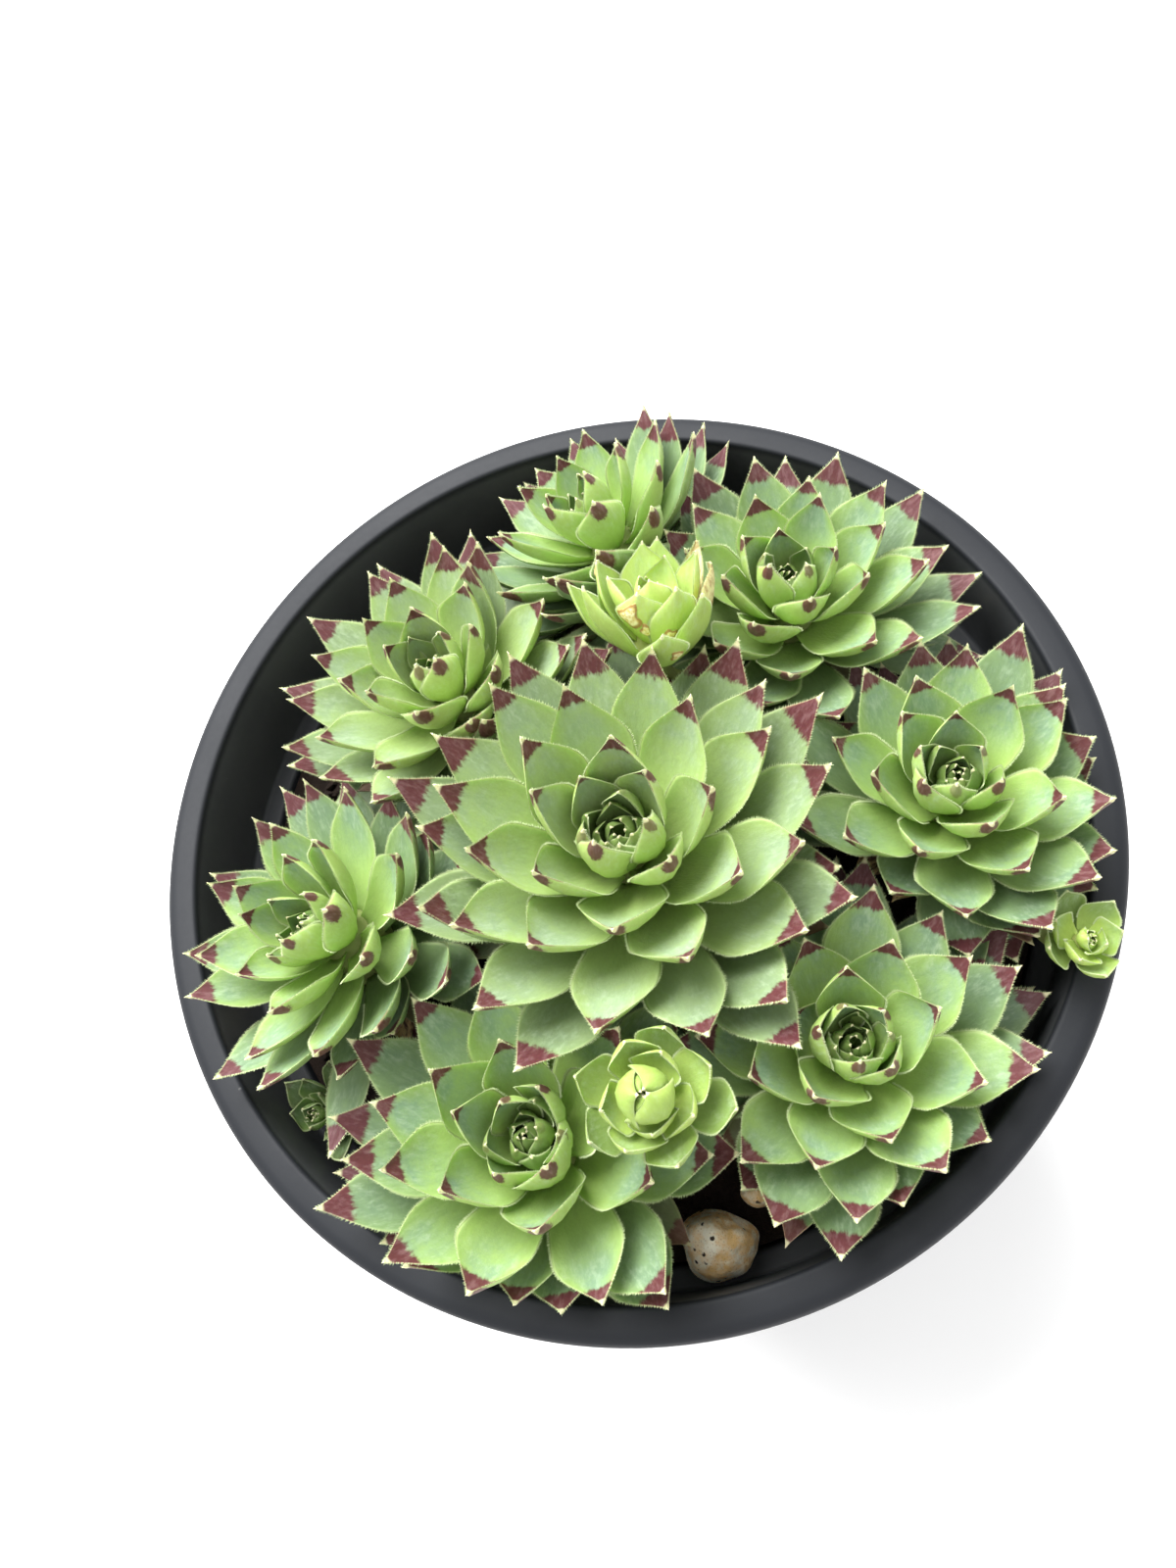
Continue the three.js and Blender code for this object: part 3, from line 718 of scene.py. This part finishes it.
def core_of(one):
    """A short cone under the heart and a stem down to the soil, as a tube whose radius changes"""
    r, depth = one.core_radius, one.core_depth
    down = depth + 1 if one.mother else one.heart[2] - SOIL_EDGE + 4
    low = np.linspace(0.18 * r, down, 14)
    radius = np.where(low < depth, r * np.minimum(1, 0.3 + low / depth), 0.62 * r)
    radius = np.where(low < 0.3 * depth, np.minimum(radius, 0.9 * low), radius) * 0.86
    return to_world(one, np.stack([0 * low, 0 * low, -low], -1)), radius


# %% [markdown]
# Under each grown rosette spreads a skirt of its oldest leaves, dull red or brown and papery, smaller than
# they were. They close the gaps that look down to the soil. The solids do without them, because they lie in
# the shade under the rest. A leaf that would reach through the pot or into the soil is left out.

# %% the skirt of old leaves
FIRST_BUD, FIRST_OLD = 100, 200


def skirt(one, count=16):
    """Leaves below the oldest: flat, narrowed and waved, two in five of them fully dry"""
    rng = np.random.default_rng(300 + one.index)
    dry = np.where(rng.uniform(0, 1, count) < 0.4, 1.0, rng.uniform(0.1, 0.45, count))
    n = np.arange(count)
    leaves = leaf_rows(
        count, 1, rng.uniform(20, 50, count), 360 * (n + rng.uniform(0, 0.8, count)) / count,
        one.length * rng.uniform(0.6, 0.9, count) * (1 - 0.35 * dry),
        one.width * rng.uniform(0.6, 0.85, count) * (1 - 0.4 * dry), rng.uniform(-25, 5, count) - 15 * dry,
        rng.uniform(0.1, 0.4, count), 1.4 - 0.8 * dry, 0.6 * one.core_radius, -1.02 * one.core_depth,
        FIRST_OLD + n)
    quirks = [rng.uniform(-2, 2, (count, 2)), rng.uniform(0, 1, count), 0.15 + 0.4 * dry, dry]
    probes = to_world(one, leaf_point(leaves[:, None], np.array([[0.5, 0.7, 0.85, 1.0]]), 0.0, 0.0))
    r, z = np.hypot(probes[..., 0], probes[..., 1]), probes[..., 2]
    kept = ((r < pot_inner_radius(z) - 2) & (z > soil_height(r) + 1)).all(1)
    return leaves[kept], np.column_stack(quirks)[kept]


# %% [markdown]
# Two more kinds of leaf are too small or too low to be in the solids. In the heart a tight bud of tiny
# leaves closes the cup between the youngest ones, and the front chick is still shut into a round ball.
# Below, more than a hundred late leaves fill gaps between the rosettes. They are settled by the same rule
# as the others, so they take only room that is left over.

# %% buds and late leaves
BUD = 9


def bud(one):
    """Leaf n of the bud: s = (n + 1/2) / BUD from the middle outwards, its size and foot growing with s"""
    n = np.arange(BUD)
    s = (n + 0.5) / BUD
    size = one.length / (22 if one.chick else 31)
    pitch = 52 + np.random.default_rng(700 + one.index).uniform(-6, 6, BUD)
    form = [78 - 10 * s, size * (4.6 + 3.6 * s), size * (2.7 + 2.2 * s), pitch,
            size * (0.3 + 1.7 * s), size * (1.2 - 1.4 * s)]
    if one.name == "chick_front":
        form = [128 + 6 * s, 6.6 + 4.4 * s, 5.4 + 3.4 * s, 34, 0.4 + 1.6 * s, 0.2]
    curl, length, width, pitch, out, high = form
    return leaf_rows(BUD, 0.05 + 0.05 * s, curl, one.spin - (BUD - n) * GOLDEN_ANGLE, length, width, pitch,
                     0.7, size, out, high, FIRST_BUD + n)


OPEN_SPOTS = np.array([stone.at for stone in STONES] + [by_name["chick_low"].heart[:2]])
OPEN_REACH = np.array([15, 15, 15, 7])


def late_leaves(one, numbers, steep):
    """Leaves below the oldest ones, `steep` degrees up at their middle, wherever they find room. None reaches
    within 15 mm of a stone or 7 mm of the low chick's heart, which stay in sight."""
    for k in numbers:
        plan = leaf_plan(one, one.leaves - 1)
        plan[NUMBER] = one.leaves + k
        plan[TURN] = one.spin + (one.leaves + k) * GOLDEN_ANGLE
        plan[PITCH] = steep - plan[CURL] / 2
        plan[LENGTH] *= 0.96
        reach = to_world(one, leaf_point(plan, np.array([0.6, 1.0]), 0.0, 0.0))[:, None, :2]
        if (np.linalg.norm(reach - OPEN_SPOTS, axis=-1) > OPEN_REACH).all():
            settle(one, plan)


for one in ROSETTES:
    if one.name == "chick_back":
        late_leaves(one, range(6), steep=40)
    elif not one.chick:
        late_leaves(one, range(8), steep=22)
for one in offsets:
    late_leaves(one, range(8, 20), steep=4)
print(len(placed["leaf"]), "leaves with the late ones")

# %% build the rosettes
WITHERED = dict(chick_back=(13, 16))
PLAIN = dict(leaf_shape=(0.3, 0.5, 0), leaf_life=(0.3, 0.5, 0.3))
for one in ROSETTES:
    leaves = placed["leaf"][placed["owner"] == one.index]
    leaves[:, LENGTH] *= 0.995  # so that the finer tips reach no further than the solid ones
    leaves = np.concatenate([bud(one), leaves])
    quirks = leaf_quirks(leaves, 100 + one.index)
    papery = np.isin(leaves[:, NUMBER], WITHERED.get(one.name, ()))
    leaves[papery, WIDTH] *= 0.75
    quirks[papery, 3:] = 0.4, 1.0
    one.leaf_rows, one.quirk_rows = leaves, quirks
    if not one.chick:
        old, old_quirks = skirt(one)
        leaves, quirks = np.concatenate([leaves, old]), np.concatenate([quirks, old_quirks])
    points, *faces, looks = leaf_meshes(leaves, quirks)
    stems = [tube(*core_of(one))]
    stems += [tube(runner_path(chick), RUNNER_RADIUS) for chick in chicks if chick.mother == one.name]
    points, *faces = join([(to_world(one, points), *faces), *stems])
    stem_points = points[len(looks["leaf_plane"]):]
    for key in looks:
        plain = np.broadcast_to(PLAIN.get(key, stem_points), stem_points.shape)
        looks[key] = np.concatenate([looks[key], plain])
    make_piece(one.name + "_leaves", points, *faces, [one.name], one.slot,
               FLESH[LEAF_KINDS.get(one.name, "green")], looks)

# %% [markdown]
# ## Margin hairs
# Each margin carries a comb of short stiff pale hairs that lean towards the tip and make the outline of a
# leaf look frosted. Hair curves wouldn't be kept in an export, so each hair is a tiny closed spike of four
# triangles.

# %% hairs
def margin_hairs(one, count=80):
    """Spikes on both margins: base on the margin, direction outwards plus a share of the way to the tip"""
    grown = one.leaf_rows[:, NUMBER] < FIRST_BUD
    leaf, quirk = one.leaf_rows[grown][:, None, None], one.quirk_rows[grown][:, None, None]
    rng = np.random.default_rng(500 + one.index)
    shape = (len(leaf), 2, count)
    u = 0.25 + 0.74 * (np.arange(count) + rng.uniform(-0.35, 0.35, shape)) / count
    v = np.array([-1.0, 1.0])[None, :, None]
    base = leaf_surface(leaf, u, v, True, quirk)
    ahead = unit(leaf_surface(leaf, u + 0.01, v, True, quirk) - base)
    outward = base - leaf_surface(leaf, u, 0.7 * v, True, quirk)
    outward = unit(outward - (outward * ahead).sum(-1)[..., None] * ahead)
    across = np.cross(ahead, outward)
    length = rng.uniform(0.2, 0.42, shape)[..., None] * np.sqrt(leaf[..., LENGTH, None] / COMMON_LENGTH)
    lean = rng.uniform(0.35, 0.85, shape)[..., None]
    point = base + length * (outward + lean * ahead + rng.normal(0, 0.14, shape)[..., None] * across)
    base = base - 0.12 * outward
    half = 0.1
    corners = [base - half * ahead, base + half * (ahead + 0.6 * across),
               base + half * (0.2 * ahead - across), point]
    points = np.stack(corners, -2).reshape(-1, 3)
    a, b, c, d = (points[k::4] for k in range(4))
    inside_out = np.einsum("ij,ij->i", np.cross(b - a, c - a), d - a) > 0
    faces = 4 * np.arange(len(a))[:, None, None] + np.array([[0, 1, 2], [0, 3, 1], [1, 3, 2], [2, 3, 0]])
    faces = np.where(inside_out[:, None, None], faces[:, :, ::-1], faces)
    return to_world(one, points), faces.reshape(-1, 3)


for one in ROSETTES:
    points, triangles = margin_hairs(one)
    make_piece(one.name + "_hairs", points, [], triangles, [one.name], one.slot, HAIR, smooth=False)

# %% [markdown]
# ## Blisters
# The pale chick at the back carries a few old scars on the backs of its front leaves: raised corky
# blisters, cream in the middle with a thin brown edge. Each is a low closed dome with an uneven outline,
# laid on the leaf's own surface, so that it follows the keel under it.

# %% blisters
# leaf number, place along and across its back, half length and half width in mm
BLISTERS = [(7, 0.67, -0.42, 2.6, 1.8), (7, 0.46, 0.1, 1.7, 0.95), (10, 0.45, -0.25, 1.4, 1.15),
            (15, 0.6, 0.45, 1.5, 1.1), (9, 0.86, 0.0, 1.0, 0.6)]


def blister_finish():
    one = Finish("corky_blister", Roughness=0.5, Specular_IOR_Level=0.4)
    crust = one.place.noise(1500, 3.0, 0.6)
    uneven = one.read("blister_shape").split()[0] + crust.swing(0.3)
    one.color = crust.ease(0.4, 0.62).blend((206, 182, 104), (240, 232, 184))
    one.layer(uneven.ease(0.62, 0.8, 0.0, 0.9), (150, 112, 58))
    one.layer(uneven.ease(0.9, 1.0), (172, 192, 104))
    return one.finish(None, crust.relief(0.25, 0.7))


def blister(one, number, u, v, half_length, half_width_mm, rings=8, sides=28):
    """A dome 0.3 (1 - s^3) mm high over the leaf's back, s from 0 to 1, closed 0.25 mm under the surface"""
    row = np.flatnonzero(one.leaf_rows[:, NUMBER] == number)[0]
    leaf, quirk = one.leaf_rows[row], one.quirk_rows[row]
    t = 2 * np.pi * np.arange(sides) / sides
    s = np.linspace(0, 1, rings + 1)[1:, None]
    far = s * (1 + 0.16 * np.sin(3 * t + number) + 0.1 * np.sin(5 * t + 7 * u))
    at_u = u + far * np.cos(t) * half_length / leaf[LENGTH]
    at_v = np.clip(v + far * np.sin(t) * half_width_mm / fine_half_width(leaf, u), -0.97, 0.97)
    skin = leaf_surface(leaf, at_u, at_v, False, quirk)
    middle, inside = (leaf_surface(leaf, u, v, face, quirk) for face in (False, True))
    east, north, west, south = skin[-1, ::sides // 4]
    normal = unit(np.cross(north - south, east - west))
    normal *= np.sign(normal @ (middle - inside))
    height = 0.3 * (1 - s ** 3) + 0.05 * np.sin(4 * t + 3 * number) * s * (1 - s)
    top = skin + height[..., None] * normal
    ends = [middle + 0.3 * normal, middle - 0.3 * normal]
    points = np.concatenate([top.reshape(-1, 3), skin[-1] - 0.25 * normal, ends])
    quads, triangles = ring_faces(rings + 1, sides, flip=True)
    if volume(points, cut_up(quads, triangles)) < 0:
        quads, triangles = quads[:, ::-1], triangles[:, ::-1]
    out = np.concatenate([np.broadcast_to(s, (rings, sides)).ravel(), np.ones(sides), [0, 1]])
    return to_world(one, points), quads, triangles, out


made = [blister(by_name["chick_back"], *row) for row in BLISTERS]
out = np.concatenate([row[3] for row in made])
make_piece("chick_back_blisters", *join([row[:3] for row in made]), [], "young_leaf", blister_finish(),
           dict(blister_shape=np.stack([out, 0 * out, 0 * out], -1)))

# %% [markdown]
# ## The pot
# A round injection-moulded nursery pot of black plastic: a tapered body, a wider collar, and a flat flange
# with a short skirt and a rounded outer edge. It is a profile turned about the axis. A moulded pot's edges
# are never sharp, so the corners of the profile are rounded by small curves before it is turned. Specks of
# dust lie on the plastic, and the inner wall of the collar is painted a lighter grey: painted light, for the
# reflections that the wall catches between the soil and the rim.

# %% pot finish
def pot_finish():
    one = Finish("black_plastic_moulded", Specular_IOR_Level=0.22)
    cloud = one.place.noise(35, 4.0, 0.6)
    scuff = one.place.noise(900, 3.0, 0.7)
    speck = one.place.cells(330.0).ease(0.16, 0.1) * one.place.noise(60, 3.0, 0.7).ease(0.6, 0.68)
    haze = one.place.noise(18, 5.0, 0.65).ease(0.55, 0.8, 0.0, 0.35)
    one.color = haze.blend((33, 35, 39), (46, 48, 51))
    x, y, z = one.place.split()
    radius = x.math("SQRT", x * x + y * y)
    # painted light: the inner wall of the collar a lighter grey, for the reflections it catches
    painted_wall_light = radius.ease(77.6 * MM, 77 * MM) * z.ease(98 * MM, 100 * MM) * z.ease(119.6 * MM, 117.5 * MM)
    one.layer(painted_wall_light * cloud.ease(0.2, 0.7, 0.6, 1.0), (72, 74, 76))
    one.layer(speck * 0.8, (190, 190, 186))
    return one.finish(0.44 + cloud * 0.16 + scuff * 0.1 + speck * 0.3, scuff.relief(0.03, 0.5))


BLACK_PLASTIC = pot_finish()


# %% pot shape
def rounded(profile, radii, steps=4):
    """(1 - t)^2 a + 2 (1 - t) t corner + t^2 b, from one side of each corner, a, to the other, b"""
    profile, points = np.array(profile, float), []
    t = np.linspace(0, 1, steps + 1)[:, None]
    for corner, before, after, size in zip(profile, np.roll(profile, 1, 0), np.roll(profile, -1, 0), radii):
        a, b = (corner + (end - corner) * min(0.45, size / np.linalg.norm(end - corner))
                for end in (before, after))
        points.extend((1 - t) ** 2 * a + 2 * (1 - t) * t * corner + t ** 2 * b if size else [corner])
    return np.array(points)


def refined(profile, longest):
    """More points on long straight stretches of a profile"""
    points = []
    for a, b in zip(profile[:-1], profile[1:]):
        steps = max(1, math.ceil(np.linalg.norm(b - a) / longest))
        points.extend(a + (b - a) * t for t in np.arange(steps)[:, None] / steps)
    return np.array(points + [profile[-1]])


def turned(profile, segments):
    """The profile (radius, height) from axis to axis, turned about Z"""
    c, s = circle(segments)
    r, z = profile[1:-1, :1], profile[1:-1, 1:]
    ring = np.stack([r * c, r * s, z + 0 * c], -1).reshape(-1, 3)
    points = np.concatenate([ring, [[0, 0, profile[0, 1]]], [[0, 0, profile[-1, 1]]]])
    return points, *ring_faces(len(r), segments)


rim, height, wall = POT.rim_radius, POT.height, POT.wall
base, foot, panel = POT.base_radius, POT.foot, POT.base_radius - POT.foot_width
outline = [
    (0, foot), (panel, foot), (panel + 0.6, 0), (base - 0.6, 0), (base, 1),
    (BODY_TOP, COLLAR_FOOT - wall), (COLLAR_INNER + wall - 0.8, COLLAR_FOOT - wall),
    (COLLAR_INNER + wall, height - wall), (rim - wall, height - wall), (rim - wall, height - POT.skirt),
    (rim, height - POT.skirt), (rim, height), (COLLAR_INNER, height), (COLLAR_INNER - 0.8, COLLAR_FOOT),
    (BODY_TOP - wall, COLLAR_FOOT), (base - wall, PANEL_TOP), (0, PANEL_TOP)]
corner_sizes = [0, 0.5, 0, 0, 0.5, 1, 1, 0.6, 0.5, 0.4, 0.5, 2.5, 0.9, 0.8, 0.8, 1.2, 0]
pot_profile = refined(rounded(outline, corner_sizes), longest=6)
pot = make_piece("pot_body", *turned(pot_profile, segments=240), ["pot"], "black_plastic", BLACK_PLASTIC)

# %% drain holes
drills = []
for k in range(POT.drains):
    turn = 2 * math.pi * k / POT.drains
    at = (panel - POT.drain_radius - 5) * np.array([math.cos(turn), math.sin(turn)])
    path = [[*at, z] for z in (foot - 1, foot + 0.8, PANEL_TOP + 1)]
    drills.append(tube(path, POT.drain_radius, sides=32))
points, quads, triangles = join(drills)
drill = add_plain("drills", (points * MM).tolist(), quads.tolist() + triangles.tolist())
cut = pot.modifiers.new("drain_holes", "BOOLEAN")
cut.operation, cut.solver, cut.object = "DIFFERENCE", "EXACT", drill
bpy.context.view_layer.update()
bored = bpy.data.meshes.new_from_object(pot.evaluated_get(bpy.context.evaluated_depsgraph_get()))
pot.modifiers.clear()
pot.data = bored
bpy.data.objects.remove(drill)
print("pot after drilling:", len(pot.data.polygons), "faces")

# %% [markdown]
# ## Potting mix
# Dark peat and bark fill the pot to about 2 cm under the rim. Only bits of it show, between the leaves, so a
# rough top with crumbs of bark pressed into it is enough. Its colour is the peat's own dark brown deepened
# towards black with painted shade of the deep gaps between the leaves.

# %% potting mix
def soil_finish():
    one = Finish("potting_mix_moist", Roughness=0.9, Specular_IOR_Level=0.25)
    lumps = one.place.noise(420, 5.0, 0.7)
    fibre = one.place.stretch(0.4, 1.6, 1.0).noise(1400, 4.0, 0.7)
    # near black: the peat's own dark brown deepened with painted shade of the gaps between the leaves
    one.color = lumps.blend((14, 10, 8), (44, 32, 24))
    one.layer(fibre.ease(0.6, 0.75, 0.0, 0.6), (78, 60, 44))
    return one.finish(None, lumps.relief(0.8, 0.8, fibre.relief(0.3, 0.6)))


def bumpy(p, scale, seed, octaves=4):
    """Smooth repeatable roughness from about -1 to 1: sines along drawn directions, halved at each octave"""
    rng = np.random.default_rng(seed)
    total = np.zeros(p.shape[:-1])
    for octave in range(octaves):
        way = rng.normal(0, 1, (3, 3)) * scale * 2 ** octave
        wave = np.sin(p @ way + rng.uniform(0, 6.28, 3))
        total += (wave[..., 0] * wave[..., 1] + wave[..., 1] * wave[..., 2]) / 2 ** octave
    return total / 2


POTTING_MIX = soil_finish()
SLACK = 0.35
soil_floor = PANEL_TOP + SLACK
side = [(float(pot_inner_radius(z)) - SLACK, z) for z in np.linspace(soil_floor, SOIL_EDGE - 0.6, 12)]
edge_radius = float(pot_inner_radius(SOIL_EDGE)) - SLACK
top = [(r, soil_height(r)) for r in np.linspace(edge_radius, 0, 46)]
soil_profile = np.array([(0, soil_floor), *side, *top])
points, *faces = turned(soil_profile, segments=180)
on_top = points[:, 2] > SOIL_EDGE - 0.3
inner = np.clip((edge_radius - np.hypot(points[:, 0], points[:, 1])) / 3, 0, 1)
points[:, 2] += on_top * (0.9 * bumpy(points, scale=0.35, seed=3) - 0.4) * inner


def crumbs(count, seed):
    """Chips of bark: small twelve-cornered lumps, squashed, turned and pressed into the soil"""
    rng = np.random.default_rng(seed)
    golden = (1 + 5 ** 0.5) / 2
    corners = np.array([(a, b * golden, 0) for a in (-1, 1) for b in (-1, 1)])
    corners = unit(np.concatenate([corners, corners[:, [2, 0, 1]], corners[:, [1, 2, 0]]]))
    near = np.linalg.norm(corners[:, None] - corners, axis=-1) < 1.1
    faces = [f for f in map(list, combinations(range(12), 3)) if near[np.ix_(f, f)].all()]
    faces = np.array([f if np.linalg.det(corners[f]) > 0 else f[::-1] for f in faces])
    lump = corners * rng.uniform(0.7, 1.15, (count, 12, 1)) * rng.uniform(0.35, 1.2, (count, 1, 3))
    lump *= rng.uniform(0.5, 1.7, (count, 1, 1))
    turn = np.linalg.qr(rng.normal(0, 1, (count, 3, 3)))[0]
    turn *= np.sign(np.linalg.det(turn))[:, None, None]
    lump = np.einsum("nij,nkj->nki", turn, lump)
    far, way = (edge_radius - 3) * np.sqrt(rng.uniform(0, 1, count)), rng.uniform(0, 2 * np.pi, count)
    at = np.stack([far * np.cos(way), far * np.sin(way), soil_height(far) + 0.1], -1)
    return (lump + at[:, None]).reshape(-1, 3), [], 12 * np.arange(count)[:, None, None] + faces


soil = join([(points, *faces), crumbs(count=1500, seed=21)])
make_piece("potting_mix", *soil, ["soil"], "potting_mix", POTTING_MIX, smooth=False)

# %% [markdown]
# ## Pumice
# Three cream stones lie in the gaps by the rim. Pumice is a glass foam, so its skin is rough and broken by
# round pits, and it carries brown and black specks. Each stone keeps the bumps and size of its solid, with
# dents pressed in.

# %% pumice
def pumice_finish():
    one = Finish("pumice_stone", Roughness=0.85, Specular_IOR_Level=0.3)
    body = one.place.noise(260, 4.0, 0.65)
    # painted light: the cream is lighter than the pumice's own, as the stones lie in the shade of the rim and
    # leaves
    one.color = body.ease(0.36, 0.64).blend((238, 198, 134), (254, 246, 222))
    one.layer(one.place.cells(2100.0).ease(0.35, 0.12, 0.0, 0.4), (168, 132, 88))
    one.layer(one.place.cells(620.0).ease(0.3, 0.2) * one.place.noise(700).ease(0.52, 0.6), (58, 48, 40))
    return one.finish(None, one.place.noise(1500, 5.0, 0.7).relief(0.6, 0.7))


def stone_shape(stone, rows=36, sides=64, dent_count=42):
    """A ball times 1 + 0.07 of three sines, as on the solid, with round dents pressed in"""
    polar, seed = np.pi * np.arange(rows + 1) / rows, stone.seed
    p, *faces = turned(np.stack([np.sin(polar), -np.cos(polar)], -1), sides)
    wave = np.sin(3.1 * p[:, 0] + seed) + np.sin(4.3 * p[:, 1] + 2 * seed) + np.sin(3.7 * p[:, 2] - seed)
    rng = np.random.default_rng(900 + seed)
    dents = unit(rng.normal(0, 1, (dent_count, 3)))
    wide = rng.uniform(0.06, 0.22, dent_count)
    apart = np.linalg.norm(p[:, None] - dents[None], axis=-1)
    dent = (wide * 0.42 * np.exp(-(apart / wide) ** 2)).sum(1)
    out = 1 + 0.07 * wave - dent + 0.02 * bumpy(p, 2.5, seed)
    points = p * out[:, None] * np.array(stone.size) / 2
    x, y = stone.at
    points += [x, y, soil_height(math.hypot(x, y)) + FIT - points[:, 2].min()]
    return points, *faces


PUMICE = pumice_finish()
for stone in STONES:
    make_piece(stone.name + "_pitted", *stone_shape(stone), [stone.name], "pumice", PUMICE)

# %% [markdown]
# ## Floor, light and camera
# The pot stands on a plain white floor, which glows faintly so that it stays pale, under a large soft
# light, with an even white surround, so that shadows between the leaves stay soft. The camera looks down
# steeply from the front.

# %% floor
floor = add_plain("floor", [(-3, -3, 0), (3, -3, 0), (3, 3, 0), (-3, 3, 0)], [(0, 1, 2, 3)])
floor.data.materials.append(Finish("floor_white", Roughness=0.8, Base_Color=(0.9, 0.9, 0.9, 1),
                                   Emission_Color=(1, 1, 1, 1), Emission_Strength=0.16).material)

# %% light
world = bpy.data.worlds.new("studio")
bpy.context.scene.world = world
world.use_nodes = True
world.node_tree.nodes["Background"].inputs["Color"].default_value = (1, 1, 1, 1)
world.node_tree.nodes["Background"].inputs["Strength"].default_value = 1.07


def aimed(name, data, place, back, right):
    """An object at a place in metres that looks along -back, with its own X to the right"""
    made = add_object(name, data)
    pose = np.eye(4)
    pose[:3] = np.stack([right, np.cross(back, right), back, place], -1)
    made.matrix_world = Matrix(pose.tolist())
    return made


lamp = bpy.data.lights.new("overhead", "AREA")
lamp.shape, lamp.size, lamp.energy = "SQUARE", 0.9, 35.0
above, aim = np.array([-0.42, 0.5, 0.98]), np.array([0, 0, 0.1])
back = unit(above - aim)
aimed("overhead", lamp, above, back, unit(np.cross([0, 0, 1], back)))
print("lights: white surround and one soft square above")

# %% camera
SENSOR, FRAME_HEIGHT, FOCAL = 36.0, 1600, 1202
camera = bpy.data.cameras.new("camera")
camera.sensor_width = SENSOR
camera.sensor_fit = "AUTO"
camera.lens = FOCAL / FRAME_HEIGHT * SENSOR
camera.clip_start, camera.clip_end = 0.01, 20
forward = unit(np.array([-0.2036, 0.3436, -0.9168]))
across = np.array([0.9790, 0.0713, -0.1907])
eye = np.array([36.9, -64.32, 307.06]) * MM
stand = aimed("camera", camera, eye, -forward, unit(across - across @ forward * forward))
bpy.context.scene.camera = stand
bpy.context.scene.view_settings.view_transform = "Standard"
print("camera at", np.round(eye, 3))
